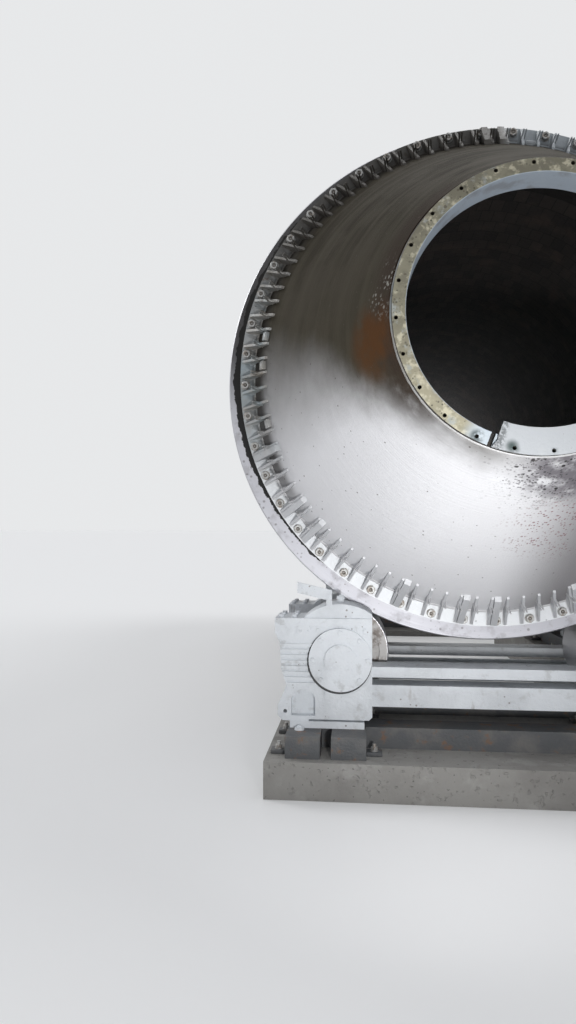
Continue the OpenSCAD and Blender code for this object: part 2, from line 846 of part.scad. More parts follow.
module pinion() {
    half = gear_width / 2 + pinion_margin;
    shaft_start = gear_place - half - bearing_gap - bearing_depth - shaft_proud;
    flange_y = reducer_y - coupling_place;
    color(bright_steel) at_pinion() union() {
        translate([0, gear_place - half, 0]) rotate([-90, 0, 0])
            rotate([0, 0, 270 - pinion_angle + 180 / pinion_teeth]) linear_extrude(2 * half)
                toothed(pinion_teeth, pinion_pitch_r);
        rod(pinion_shaft_r, shaft_start, reducer_y + shaft_depth);
        rod(coupling_r, flange_y - coupling_wall, flange_y);
        rod(coupling_r - coupling_step, flange_y - coupling_wall - coupling_hub, flange_y + coupling_hub);
    }
}

// A split bearing on a tapering stand.
module stand_bearing(y0) {
    difference() {
        union() {
            slab(y0, y0 + bearing_depth) union() {
                circle(r = bearing_r);
                polygon([[-bearing_r, 0], [bearing_r, 0], [bearing_r + bearing_spread, drive_seat],
                    [-bearing_r - bearing_spread, drive_seat]]);
            }
            block([-bearing_r - bearing_spread, y0, -split_half], [bearing_r + bearing_spread,
                y0 + bearing_depth, split_half]);
            block([-bearing_r - bearing_foot, y0 - bearing_gap / 2, drive_seat], [bearing_r + bearing_foot,
                y0 + bearing_depth + bearing_gap / 2, drive_seat + 2 * split_half]);
        }
        rod(pinion_shaft_r + shaft_fit, y0 - bearing_gap, y0 + bearing_depth + bearing_gap);
    }
}

module pinion_bearings() {
    offset = gear_width / 2 + pinion_margin + bearing_gap;
    color(white_paint) at_pinion() {
        stand_bearing(gear_place - offset - bearing_depth);
        stand_bearing(gear_place + offset);
    }
}

module gear_reducer() {
    y1 = reducer_y + reducer_depth;
    out = reducer_margin - 5;
    color(drive_blue) at_pinion() difference() {
        union() {
            slab(reducer_y, y1) polygon([[-reducer_near, drive_seat], [reducer_far, drive_seat],
                [reducer_far, 0], [reducer_far - reducer_foot, reducer_slope], [motor_shift, reducer_low_top],
                [reducer_near, reducer_top], [reducer_slope - reducer_near, reducer_top],
                [-reducer_near, reducer_slope]]);
            block([-reducer_near - reducer_foot, reducer_y - reducer_margin, drive_seat],
                [reducer_far + reducer_foot, y1 + reducer_margin, drive_seat + reducer_foot_wall]);
            block([out - reducer_near - reducer_foot, reducer_y - out, -split_half],
                [reducer_far + reducer_foot - out, y1 + out, split_half]);
            for (i = [0 : 3])
                translate([reducer_slope - reducer_near + i * reducer_rib_pitch - reducer_foot, 0, 0])
                    block([0, reducer_y - out, drive_seat], [reducer_rib, y1 + out, 0]);
            rod(reducer_neck_r, reducer_y - coupling_wall, reducer_y + pinion_margin);
            translate([motor_shift, 0, 0]) rod(pinion_shaft_r, y1 - pinion_margin, y1 + coupling_wall);
        }
        rod(pinion_shaft_r + shaft_fit, reducer_y - coupling_hub, reducer_y + shaft_depth + pinion_margin);
    }
}

module drive_motor() {
    color(drive_blue) at_pinion() translate([motor_shift, 0, 0]) union() {
        rod(motor_r, motor_y, motor_y + motor_length);
        rod(motor_r + motor_band_proud, motor_y + motor_band, motor_y + 2 * motor_band);
        rod(motor_r + motor_band_proud, motor_y + motor_length - 2 * motor_band,
            motor_y + motor_length - motor_band);
        rod(motor_r - fin_proud, motor_y + motor_length, motor_y + motor_length + motor_hood);
        for (a = [0 : 15 : 345])
            rotate([0, a, 0]) block([-fin_wall / 2, motor_y + 2 * motor_band, motor_r - fin_proud],
                [fin_wall / 2, motor_y + motor_length - 2 * motor_band, motor_r + fin_proud]);
        block([-motor_r, motor_y + 3 * motor_band, drive_seat], [motor_r,
            motor_y + motor_length - 3 * motor_band, motor_band - motor_r]);
        block([motor_r - motor_band, motor_y + terminal_length, -terminal_height / 2],
            [motor_r + terminal_depth, motor_y + 2 * terminal_length, terminal_height / 2]);
    }
}

// The cover over the fast coupling reaches from the reducer to the motor.
module coupling_guard() {
    y0 = reducer_y + reducer_depth + coupling_wall;
    color(white_paint) at_pinion() translate([motor_shift, 0, 0]) slab(y0, motor_y) union() {
        circle(r = guard_half);
        translate([-guard_half, drive_seat]) square([2 * guard_half, -drive_seat]);
    }
}

module drive_bed_frame() {
    span = drive_bed_far + drive_bed_near - beam_width;
    color(bed_grey) at_pinion() union() {
        for (x = [0, 1, 2, 3] * span / 3)
            block([x - drive_bed_near, drive_bed_start, drive_seat - drive_bed_wall],
                [x - drive_bed_near + beam_width, drive_bed_end, drive_seat]);
        for (y = [drive_bed_start, gear_place + gear_width / 2 + bearing_gap, reducer_y, motor_y,
            drive_bed_end - beam_width])
            block([-drive_bed_near, y, drive_seat - drive_bed_wall], [drive_bed_far, y + beam_width,
                drive_seat]);
    }
}

module drive_pier() {
    color(concrete) pier(pinion_x - drive_bed_near - pier_margin, pinion_x + drive_bed_far + pier_margin,
        drive_bed_start - pier_margin, drive_bed_end + pier_margin, pinion_z + drive_seat - drive_bed_wall);
}

feed_neck();
neck_liner_segment();
feed_cone();
head_flange();
flange_gussets();
bay_bars();
shell_flange();
feed_course();
middle_course();
discharge_course();
feed_ring_pads();
feed_riding_ring();
discharge_ring_pads();
discharge_riding_ring();
girth_gear();
gear_spring_plates();
nose_ring();
brick_lining();
feed_left_roller();
feed_right_roller();
feed_left_housings();
feed_right_housings();
feed_housing_lids();
feed_end_covers();
tie_beams();
feed_bed_frame();
feed_pier();
guard_strip();
discharge_left_roller();
discharge_right_roller();
discharge_left_housings();
discharge_right_housings();
discharge_housing_lids();
discharge_end_covers();
discharge_bed_frame();
discharge_pier();
thrust_roller();
thrust_bracket();
pinion();
pinion_bearings();
gear_reducer();
drive_motor();
coupling_guard();
drive_bed_frame();
drive_pier();
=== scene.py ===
import json
import math

import bmesh
import bpy
from mathutils import Matrix


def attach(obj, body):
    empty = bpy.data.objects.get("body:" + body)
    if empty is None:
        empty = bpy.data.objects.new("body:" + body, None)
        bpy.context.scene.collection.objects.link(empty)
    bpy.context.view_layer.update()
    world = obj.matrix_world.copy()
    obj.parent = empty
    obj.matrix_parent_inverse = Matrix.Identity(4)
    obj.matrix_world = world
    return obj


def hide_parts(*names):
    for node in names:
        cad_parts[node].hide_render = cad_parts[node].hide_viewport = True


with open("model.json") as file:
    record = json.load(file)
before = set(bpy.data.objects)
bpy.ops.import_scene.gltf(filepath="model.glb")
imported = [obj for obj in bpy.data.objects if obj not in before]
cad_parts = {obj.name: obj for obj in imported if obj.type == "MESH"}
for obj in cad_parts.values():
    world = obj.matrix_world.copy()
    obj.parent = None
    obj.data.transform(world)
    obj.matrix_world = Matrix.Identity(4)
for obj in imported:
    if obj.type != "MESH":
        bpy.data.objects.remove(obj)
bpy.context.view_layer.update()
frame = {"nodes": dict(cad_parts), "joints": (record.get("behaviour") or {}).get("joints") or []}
bpy.ops.object.select_all(action="DESELECT")

# The drum's own frame: its axis lies along Y and falls away from the feed end. Every piece of the
# drum is placed in this frame, at the riding ring's middle, and then set over the ground.
spin = next(joint for joint in frame["joints"] if joint["name"] == "drum_spin")
slope = math.atan2(-spin["axis"][2], spin["axis"][1])
drum_frame = Matrix.Translation(spin["pos_m"]) @ Matrix.Rotation(-slope, 4, "X")


def moved(x, y, z):
    """A shift, in metres."""
    return Matrix.Translation((x, y, z))


def spun(degrees, axis):
    """A turn about X, Y or Z."""
    return Matrix.Rotation(math.radians(degrees), 4, axis)



# Studio: a pale floor that runs out to a pale backdrop, one work lamp low in front of the drum,
# three weak suns and an even sky. The camera stands where the photograph was taken.
camera_place = (-0.930, -6.069, 1.920)
camera_turn = (math.radians(90.264), 0.0, math.radians(5.633))
backdrop = (0.80, 0.81, 0.82, 1.0)

bpy.ops.object.camera_add(location=camera_place, rotation=camera_turn)
camera = bpy.context.object
camera.data.lens = 26.0
camera.data.sensor_width = 36.0
camera.data.clip_end = 400.0
bpy.context.scene.camera = camera

bpy.ops.mesh.primitive_plane_add(size=160.0, location=(0.0, 3.0, -0.002))
floor = bpy.context.object
floor.name = "studio_floor"
floor_paint = bpy.data.materials.new("studio_floor")
floor_paint.use_nodes = True
floor_shader = floor_paint.node_tree.nodes["Principled BSDF"]
floor_shader.inputs["Base Color"].default_value = (0.70, 0.70, 0.70, 1.0)
floor_shader.inputs["Roughness"].default_value = 0.9
floor_shader.inputs["Specular IOR Level"].default_value = 0.0
floor_shader.inputs["Emission Color"].default_value = backdrop


def seen_rays(tree):
    """1 for what the camera sees, straight or in metal, and 0 for what lights the object."""
    path = tree.nodes.new("ShaderNodeLightPath")
    seen = path.outputs["Is Camera Ray"]
    for name in ("Is Glossy Ray", "Is Transmission Ray"):
        both = tree.nodes.new("ShaderNodeMath")
        both.operation = "MAXIMUM"
        tree.links.new(seen, both.inputs[0])
        tree.links.new(path.outputs[name], both.inputs[1])
        seen = both.outputs[0]
    return seen


floor_glow = floor_paint.node_tree.nodes.new("ShaderNodeMath")
floor_glow.operation = "MULTIPLY"
floor_glow.inputs[1].default_value = 0.24
floor_paint.node_tree.links.new(seen_rays(floor_paint.node_tree), floor_glow.inputs[0])
floor_paint.node_tree.links.new(floor_glow.outputs[0], floor_shader.inputs["Emission Strength"])
floor.data.materials.append(floor_paint)

for name, turn, strength, softness in (
    ("side_left", (60.0, 0.0, -112.0), 1.0, 20.0),
    ("side_right", (56.0, 0.0, 108.0), 1.0, 40.0),
    ("over_back", (42.0, 0.0, 175.0), 0.9, 40.0),
):
    bpy.ops.object.light_add(type="SUN", rotation=[math.radians(a) for a in turn])
    lamp = bpy.context.object
    lamp.name = name
    lamp.data.energy = strength
    lamp.data.angle = math.radians(softness)

bpy.ops.object.light_add(type="AREA", location=(-0.4, -4.8, 1.15),
    rotation=(math.radians(102.5), 0.0, math.radians(1.5)))
work_lamp = bpy.context.object
work_lamp.name = "work_lamp"
work_lamp.data.size = 0.25
work_lamp.data.spread = math.radians(90.0)
work_lamp.data.energy = 24.0
work_lamp.visible_camera = False

world = bpy.data.worlds.new("studio_sky")
world.use_nodes = True
bpy.context.scene.world = world
sky = world.node_tree.nodes["Background"]
sky.inputs["Strength"].default_value = 1.0
sky_mix = world.node_tree.nodes.new("ShaderNodeMix")
sky_mix.data_type = "RGBA"
sky_mix.inputs["A"].default_value = (0.29, 0.30, 0.32, 1.0)
sky_mix.inputs["B"].default_value = backdrop
world.node_tree.links.new(seen_rays(world.node_tree), sky_mix.inputs["Factor"])
world.node_tree.links.new(sky_mix.outputs["Result"], sky.inputs["Color"])
bpy.context.scene.view_settings.view_transform = "Standard"


# Feed cone: one heavy rolled and welded cone. Its plate is bare and dull, with rings of scale, rust
# round the neck's left side and fine dark spots under the neck. Painted shade darkens its top and
# its foot by the flange; low down it is pale with dust and with painted lamp light.
def surface():
    """The sockets of the finish that was begun last."""
    return begun.node_tree.nodes["Principled BSDF"].inputs


def bare(name, colour, roughness, metallic=0.0):
    """Begins a finish of one colour. The masks, stains and grain that follow are made in it."""
    global begun
    begun = bpy.data.materials.new(name)
    begun.use_nodes = True
    surface()["Base Color"].default_value = (*colour, 1.0)
    surface()["Roughness"].default_value = roughness
    surface()["Metallic"].default_value = metallic
    return begun


def node(kind, **settings):
    """A new node of the finish, with its settings."""
    made = begun.node_tree.nodes.new("ShaderNode" + kind)
    for key, value in settings.items():
        setattr(made, key, value)
    return made


def wire(source, target):
    """Links two sockets of the finish."""
    begun.node_tree.links.new(source, target)


def sums(operation, one, two):
    """A Math node. Each side is a socket or a number."""
    made = node("Math", operation=operation)
    for side, value in zip(made.inputs, (one, two)):
        if isinstance(value, (int, float)):
            side.default_value = value
        else:
            wire(value, side)
    return made.outputs[0]


def plus(first, *others):
    """The sum of several sockets or numbers."""
    for other in others:
        first = sums("ADD", first, other)
    return first


def times(first, *others):
    """The product of several sockets or numbers. For masks it is where all of them are."""
    for other in others:
        first = sums("MULTIPLY", first, other)
    return first


def feeding(socket):
    """What a socket gets now: the end of a link, or None."""
    return socket.links[0].from_socket if socket.is_linked else None


def in_drum(origin=None):
    """Places in a frame that lies along the drum, about its own axis or another point."""
    place = node("TexCoord").outputs["Object"]
    shift = node("VectorMath", operation="SUBTRACT")
    shift.inputs[1].default_value = origin or spin["pos_m"]
    turn = node("VectorRotate", rotation_type="X_AXIS")
    turn.inputs["Angle"].default_value = slope
    wire(place, shift.inputs[0])
    wire(shift.outputs[0], turn.inputs["Vector"])
    return turn.outputs["Vector"]


def drum_places(origin=None):
    """In metres: across, along and over the drum's axis, away from it, and the place round it."""
    split = node("SeparateXYZ")
    wire(in_drum(origin), split.inputs[0])
    flat = node("CombineXYZ")
    wire(split.outputs["X"], flat.inputs["X"])
    wire(split.outputs["Z"], flat.inputs["Z"])
    radius = node("VectorMath", operation="LENGTH")
    wire(flat.outputs[0], radius.inputs[0])
    return (*[split.outputs[side] for side in "XYZ"], radius.outputs["Value"], flat.outputs[0])


def round_the_drum(along=1.0, around=0.3):
    """Places that change fast along the drum's radius and length, and slowly round it."""
    _, length, _, radius, flat = drum_places()
    unit = node("VectorMath", operation="NORMALIZE")
    wire(flat, unit.inputs[0])
    slow = node("VectorMath", operation="SCALE")
    slow.inputs["Scale"].default_value = around
    wire(unit.outputs[0], slow.inputs[0])
    rise = node("CombineXYZ")
    wire(times(plus(radius, length), along), rise.inputs["Y"])
    both = node("VectorMath", operation="ADD")
    wire(slow.outputs[0], both.inputs[0])
    wire(rise.outputs[0], both.inputs[1])
    return both.outputs[0]


def ramp(value, start, end):
    """0 where the value is at start and 1 where it is at end, in either order."""
    cut = node("MapRange", interpolation_type="SMOOTHSTEP")
    cut.inputs["From Min"].default_value = start
    cut.inputs["From Max"].default_value = end
    wire(value, cut.inputs["Value"])
    return cut.outputs["Result"]


def between(value, low, high, soft):
    """1 between two values, fading out over the soft width."""
    away = sums("ABSOLUTE", sums("SUBTRACT", value, (low + high) / 2.0), 0.0)
    half = (high - low) / 2.0
    return ramp(away, half + soft, half)


def blotches(scale, low, high, detail=5.0, stretch=(1.0, 1.0, 1.0), places=None):
    """A mask from 0 to 1 of soft blotches. What lies under low is bare and over high is full."""
    place = places or node("TexCoord").outputs["Object"]
    mapping = node("Mapping")
    mapping.inputs["Scale"].default_value = stretch
    noise = node("TexNoise")
    noise.inputs["Scale"].default_value = scale
    noise.inputs["Detail"].default_value = detail
    noise.inputs["Roughness"].default_value = 0.6
    wire(place, mapping.inputs["Vector"])
    wire(mapping.outputs[0], noise.inputs["Vector"])
    return ramp(noise.outputs["Fac"], low, high)


def specks(scale, size, share, places=None):
    """A mask of round spots of mixed sizes, in a share of the cells of a grid."""
    cells = node("TexVoronoi")
    cells.inputs["Scale"].default_value = scale
    wire(places or node("TexCoord").outputs["Object"], cells.inputs["Vector"])
    chance = node("SeparateXYZ")
    wire(cells.outputs["Color"], chance.inputs[0])
    reach = sums("DIVIDE", cells.outputs["Distance"], sums("ADD", chance.outputs["Y"], 0.25))
    return times(ramp(reach, size, size * 0.55), sums("LESS_THAN", chance.outputs["X"], share))


def patch(centre, near, far, places=None):
    """A mask of 1 within near of a point and 0 past far."""
    place = places or node("TexCoord").outputs["Object"]
    gap = node("VectorMath", operation="DISTANCE")
    gap.inputs[1].default_value = centre
    wire(place, gap.inputs[0])
    return ramp(gap.outputs["Value"], far, near)


def stain(mask, colour, strength=1.0, roughness=None):
    """Lays a colour, and a roughness if one is given, over a finish where the mask is."""
    amount = times(mask, strength)
    layers = [("Base Color", "RGBA", (*colour, 1.0))]
    if roughness is not None:
        layers.append(("Roughness", "FLOAT", roughness))
    for name, kind, value in layers:
        socket = surface()[name]
        under = feeding(socket)
        lay = node("Mix", data_type=kind)
        ends = [end for end in lay.inputs if end.type == ("RGBA" if kind == "RGBA" else "VALUE")]
        first, second = ends[-2:]
        first.default_value = socket.default_value
        second.default_value = value
        if under:
            wire(under, first)
        wire(amount, lay.inputs["Factor"])
        wire(next(out for out in lay.outputs if out.type == first.type), socket)


def relief(height, depth):
    """Raises the surface by a height from 0 to 1, over a depth in metres."""
    bump = node("Bump")
    bump.inputs["Strength"].default_value = 1.0
    bump.inputs["Distance"].default_value = depth
    under = feeding(surface()["Normal"])
    if under:
        wire(under, bump.inputs["Normal"])
    wire(height, bump.inputs["Height"])
    wire(bump.outputs["Normal"], surface()["Normal"])


def grain(scale, depth, detail=6.0):
    """Roughens the surface with soft bumps."""
    relief(blotches(scale, 0.3, 0.7, detail), depth)


def dress(finish, *names):
    """Gives CAD nodes a finish in each of their material slots."""
    for name in names:
        solid = frame["nodes"][name]
        if not solid.data.materials:
            solid.data.materials.append(finish)
        for slot in solid.material_slots:
            slot.material = finish


cone_plate = bare("cone_plate", (0.055, 0.048, 0.034), 0.8)
surface()["Specular IOR Level"].default_value = 0.05
cone_in_drum = in_drum()
cone_x, cone_y, cone_z = drum_places()[:3]
# The cone is pale low down with dust and with painted lamp light: the line where it turns pale
# follows the edge of the lamp's light, soft far from the neck and sharp close to it.
dust_light_x = sums("MINIMUM", sums("MAXIMUM", cone_x, -1.15), -0.30)
dust_light_line = plus(cone_z, times(dust_light_x, 0.55), times(blotches(3.0, 0.25, 0.75, 8.0), 0.08), 0.86)
dust_light_left = sums("MAXIMUM", times(plus(cone_x, 0.87), -0.75), 0.0)
dust_light_right = sums("MAXIMUM", times(plus(cone_x, -0.2), 0.6), 0.0)
dust_light_soft = plus(dust_light_left, dust_light_right, 0.15)
low_dust_and_light = ramp(sums("DIVIDE", dust_light_line, dust_light_soft), 1.0, -1.0)
# Darker towards the top: painted shade.
stain(ramp(cone_z, 0.1, 1.0), (0.030, 0.025, 0.016), 0.85)
stain(blotches(1.0, 0.35, 0.7, places=round_the_drum(9.0, 1.2)), (0.075, 0.065, 0.046), 0.6, 0.7)
stain(blotches(2.2, 0.48, 0.62, 8.0), (0.065, 0.055, 0.04), 0.5, 0.7)
stain(low_dust_and_light, (0.80, 0.80, 0.82), 0.97, 0.75)
# Towards the right the pale part greys: painted fall-off of the lamp's light.
stain(times(low_dust_and_light, ramp(cone_x, -0.10, 0.50)), (0.22, 0.21, 0.215), 0.85)
# Darker at the cone's foot next to the flange, except at the bottom: painted shadow of the gussets.
stain(times(ramp(cone_y, -0.70, -0.59), ramp(cone_z, -1.2, -0.6)), (0.045, 0.040, 0.034), 0.82)
stain(times(blotches(6.0, 0.22, 0.50, 8.0), ramp(cone_y, -1.90, -2.10),
    ramp(cone_x, -0.30, -0.55), ramp(cone_z, -0.68, -0.40)),
    (0.045, 0.032, 0.024), 0.9, 0.75)
stain(times(blotches(5.0, 0.25, 0.56, 9.0),
    patch((-0.845, -1.96, -0.11), 0.10, 0.28, cone_in_drum)), (0.095, 0.042, 0.016), 0.92, 0.85)
stain(times(specks(55.0, 0.62, 0.75), blotches(9.0, 0.42, 0.55),
    patch((-0.79, -2.08, 0.15), 0.06, 0.21, cone_in_drum)), (0.42, 0.41, 0.37), 0.75)
stain(times(blotches(9.0, 0.34, 0.58, 8.0),
    patch((0.22, -2.06, -0.85), 0.16, 0.42, cone_in_drum)), (0.13, 0.12, 0.135), 0.9)
stain(times(specks(34.0, 0.42, 0.55), blotches(4.0, 0.42, 0.55),
    patch((0.08, -2.05, -0.95), 0.16, 0.52, cone_in_drum)), (0.025, 0.022, 0.022), 0.95)
stain(times(specks(70.0, 0.55, 0.8), blotches(5.0, 0.36, 0.52),
    patch((0.12, -2.06, -0.92), 0.14, 0.45, cone_in_drum)), (0.05, 0.045, 0.05), 0.85)
stain(times(specks(60.0, 0.50, 0.65), blotches(3.0, 0.40, 0.55),
    patch((0.30, -1.55, -1.20), 0.22, 0.50, cone_in_drum)), (0.22, 0.09, 0.10), 0.8)
stain(specks(24.0, 0.16, 0.30), (0.09, 0.075, 0.065), 0.7)
relief(blotches(1.0, 0.3, 0.7, places=round_the_drum(60.0, 1.0)), 0.0012)
relief(blotches(90.0, 0.2, 0.8, 6.0), 0.001)
dress(cone_plate, "feed_cone")


# Feed neck: a turned ring of plate with tapped holes, set in the cone's small end. Its face is
# machined and has a yellowish film with dark specks, and it is bright beside the cut slot. Painted
# shade darkens its top, the slot, the holes and the outer edge.
def pick(kind, test):
    """In edit mode, selects only those corners, edges or faces of the shaped piece that pass."""
    bpy.ops.mesh.select_mode(type={"verts": "VERT", "edges": "EDGE", "faces": "FACE"}[kind])
    bpy.ops.mesh.select_all(action="DESELECT")
    shape = bmesh.from_edit_mesh(bpy.context.object.data)
    for part in getattr(shape, kind):
        if test(part):
            part.select_set(True)
    bmesh.update_edit_mesh(bpy.context.object.data)


def select(*pieces):
    """Selects these objects and no others, with the first as the active one."""
    bpy.ops.object.select_all(action="DESELECT")
    for piece in pieces:
        piece.select_set(True)
    bpy.context.view_layer.objects.active = pieces[0]


def edit(piece):
    """Goes into edit mode on a piece, with all of it selected."""
    bpy.context.view_layer.objects.active = piece
    bpy.ops.object.mode_set(mode="EDIT")
    bpy.ops.mesh.select_all(action="SELECT")


def settle(piece, place=None, merge=0.0):
    """Puts the place of a piece in its mesh, and turns its faces outwards."""
    if bpy.context.object.mode == "EDIT":
        bpy.ops.object.mode_set(mode="OBJECT")
    select(piece)
    if place is not None:
        piece.matrix_world = place @ piece.matrix_world
    bpy.ops.object.transform_apply(location=True, rotation=True, scale=True)
    edit(piece)
    if merge:
        bpy.ops.mesh.remove_doubles(threshold=merge)
    bpy.ops.mesh.normals_make_consistent(inside=False)
    bpy.ops.object.mode_set(mode="OBJECT")
    bpy.ops.object.select_all(action="DESELECT")


def modify(piece, kind, **settings):
    """Adds a modifier to a piece and applies it."""
    select(piece)
    bpy.ops.object.modifier_add(type=kind)
    step = piece.modifiers[-1]
    for key, value in settings.items():
        setattr(step, key, value)
    bpy.ops.object.modifier_apply(modifier=step.name)


def chamfer(piece, width, segments=1):
    """Takes off or rounds the sharp edges of a piece."""
    modify(piece, "BEVEL", width=width, segments=segments, limit_method="ANGLE",
        angle_limit=math.radians(50.0))


def fit_out(piece, name, body, finish, smooth=30.0):
    """Names a finished piece, gives it its finish, and lets it ride on a CAD body."""
    piece.name = name
    piece.data.materials.clear()
    piece.data.materials.append(finish)
    select(piece)
    bpy.ops.object.shade_smooth_by_angle(angle=math.radians(smooth))
    bpy.ops.object.select_all(action="DESELECT")
    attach(piece, body)


def ring_solid(inner_r, outer_r, start, end, steps):
    """A square-edged ring about the drum's axis, with small chamfers."""
    bpy.ops.mesh.primitive_plane_add(size=1.0)
    ring = bpy.context.object
    bpy.ops.transform.resize(value=(outer_r - inner_r, end - start, 1.0))
    bpy.ops.transform.translate(value=((outer_r + inner_r) / 2.0, (start + end) / 2.0, 0.0))
    bpy.ops.object.transform_apply(location=True, scale=True)
    edit(ring)
    bpy.ops.mesh.delete(type="ONLY_FACE")
    bpy.ops.mesh.select_all(action="SELECT")
    bpy.ops.mesh.spin(steps=steps, angle=2.0 * math.pi, center=(0.0, 0.0, 0.0),
        axis=(0.0, 1.0, 0.0))
    settle(ring, merge=0.0001)
    chamfer(ring, 0.002)
    return ring


def cut(piece, tool):
    """Takes the shape of a tool out of a piece."""
    modify(piece, "BOOLEAN", operation="DIFFERENCE", object=tool, solver="EXACT")
    bpy.data.objects.remove(tool)


neck_face_y, neck_back_y = -2.180, -1.990
neck_outer_r, neck_bore_r = 0.771, 0.697
hole_circle_r, hole_r, hole_depth = 0.749, 0.011, 0.055
hole_count, hole_pitch, hole_phase = 24, math.radians(15.0), math.radians(-3.17)
slot_turn, slot_width, slot_depth = math.radians(201.09), 0.024, 0.040


def drill(piece, hole, depth):
    """Cuts one of the neck's holes, counted clockwise from the top, in a piece."""
    turn = hole_phase + hole * hole_pitch
    bpy.ops.mesh.primitive_cylinder_add(vertices=20, radius=hole_r, depth=2.0 * depth,
        location=(hole_circle_r * math.sin(turn), neck_face_y, hole_circle_r * math.cos(turn)),
        rotation=(math.radians(90.0), 0.0, 0.0))
    cut(piece, bpy.context.object)


neck = ring_solid(neck_bore_r, neck_outer_r, neck_face_y, neck_back_y, 144)
for hole in range(hole_count):
    drill(neck, hole, hole_depth)
slot_r = (neck_bore_r + neck_outer_r) / 2.0
bpy.ops.mesh.primitive_cube_add(size=1.0, rotation=(0.0, slot_turn, 0.0),
    location=(slot_r * math.sin(slot_turn), neck_face_y, slot_r * math.cos(slot_turn)))
slot_block = bpy.context.object
slot_block.scale = (slot_width, 2.0 * slot_depth, 0.2)
cut(neck, slot_block)
settle(neck, drum_frame)
neck_metal = bare("neck_metal", (0.37, 0.34, 0.24), 0.55)
_, neck_y, neck_z, neck_r, _ = drum_places()
neck_in_drum = in_drum()
# Darker towards the top of the face: painted shade.
stain(ramp(neck_z, -0.55, 0.10), (0.16, 0.15, 0.11), 0.85)
stain(blotches(9.0, 0.42, 0.60, 6.0), (0.27, 0.255, 0.185), 0.8)
stain(blotches(19.0, 0.50, 0.64, 5.0), (0.60, 0.56, 0.42), 0.85, 0.4)
stain(blotches(13.0, 0.56, 0.70, 5.0), (0.40, 0.43, 0.42), 0.8, 0.4)
stain(times(specks(60.0, 0.50, 0.5), blotches(7.0, 0.45, 0.60)), (0.06, 0.055, 0.035), 0.85)
stain(specks(30.0, 0.28, 0.35), (0.10, 0.085, 0.06), 0.8)
stain(patch((-0.285, neck_face_y, -0.68), 0.055, 0.15, neck_in_drum), (0.55, 0.62, 0.68), 0.9, 0.32)
stain(times(blotches(26.0, 0.34, 0.52, 4.0),
    patch((-0.338, neck_face_y, -0.668), 0.020, 0.050, neck_in_drum)), (0.07, 0.09, 0.09), 0.85)
bore_side = ramp(neck_r, neck_bore_r + 0.004, neck_bore_r + 0.001)
stain(bore_side, (0.50, 0.57, 0.65), 0.95, 0.45)
stain(times(bore_side, blotches(7.0, 0.5, 0.64, 7.0)), (0.33, 0.35, 0.38), 0.7)
# Black on the floor of the cut slot: painted shade.
slot_shade_place = patch((-0.264, neck_face_y + 0.020, -0.685), 0.050, 0.056, neck_in_drum)
stain(times(slot_shade_place, ramp(neck_y, neck_face_y + 0.001, neck_face_y + 0.004)),
    (0.015, 0.014, 0.013), 1.0)
# Dark down in the tapped holes: painted shade.
hole_shade_depth = ramp(neck_y, neck_face_y + 0.001, neck_face_y + 0.006)
stain(times(hole_shade_depth, between(neck_r, hole_circle_r - 0.013,
    hole_circle_r + 0.013, 0.001)), (0.03, 0.025, 0.02), 1.0)
# Dark round the face's outer edge and the neck's outer side: painted shade.
stain(ramp(neck_r, neck_outer_r - 0.002, neck_outer_r - 0.0005), (0.035, 0.031, 0.027), 0.97, 0.85)
relief(blotches(1.0, 0.3, 0.7, places=round_the_drum(240.0, 1.5)), 0.0003)
grain(120.0, 0.0004, 5.0)
fit_out(neck, "neck_ring", "drum", neck_metal)
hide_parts("feed_neck")


# Liner segment: the piece of an old ring of plate that is left on the lower side of the neck. It is
# bright, bolted with three bolts, and its flame-cut end leans and is ragged.
segment_inner_r, segment_wall = 0.630, 0.025
segment_half, end_lean = math.radians(20.1), math.radians(3.8)
segment_steps, segment_rows = 40, 12

bpy.ops.mesh.primitive_plane_add(size=1.0, rotation=(math.radians(90.0), 0.0, 0.0))
segment = bpy.context.object
bpy.ops.transform.resize(value=(neck_outer_r - segment_inner_r, 1.0, segment_wall))
bpy.ops.object.transform_apply(rotation=True, scale=True)
edit(segment)
bpy.ops.transform.rotate(value=math.radians(90.0), orient_axis="X", center_override=(0.0, 0.0, 0.0))
bpy.ops.transform.translate(value=((neck_outer_r + segment_inner_r) / 2.0,
    neck_face_y - segment_wall / 2.0, 0.0))
bpy.ops.mesh.subdivide(number_cuts=segment_rows - 1)
bpy.ops.mesh.spin(steps=segment_steps, angle=2.0 * segment_half, center=(0.0, 0.0, 0.0),
    axis=(0.0, 1.0, 0.0))
settle(segment, merge=0.0001)
angles = [math.atan2(corner.co.z, corner.co.x) for corner in segment.data.vertices]
middle = (min(angles) + max(angles)) / 2.0
settle(segment, Matrix.Rotation(middle + math.radians(90.0), 4, "Y"))


def from_bottom(corner):
    """Angle of a corner from straight down, towards the left seen from the feed end."""
    return math.atan2(-corner.co.x, -corner.co.z)


edit(segment)
row_step = (neck_outer_r - segment_inner_r) / segment_rows
for row in range(segment_rows):
    row_r = segment_inner_r + row * row_step
    pick("verts", lambda corner: from_bottom(corner) > segment_half - 0.004
        and abs(math.hypot(corner.co.x, corner.co.z) - row_r) < row_step / 2.0)
    bpy.ops.transform.rotate(value=end_lean * (1.0 - row / segment_rows), orient_axis="Y",
        center_override=(0.0, 0.0, 0.0))
end_angle = segment_half - end_lean - 0.004
pick("verts", lambda corner: from_bottom(corner) > end_angle and len(corner.link_faces) > 2
    and corner.co.y < neck_face_y - 0.001)
bpy.ops.transform.vertex_random(offset=0.0035, seed=7)
bpy.ops.object.mode_set(mode="OBJECT")

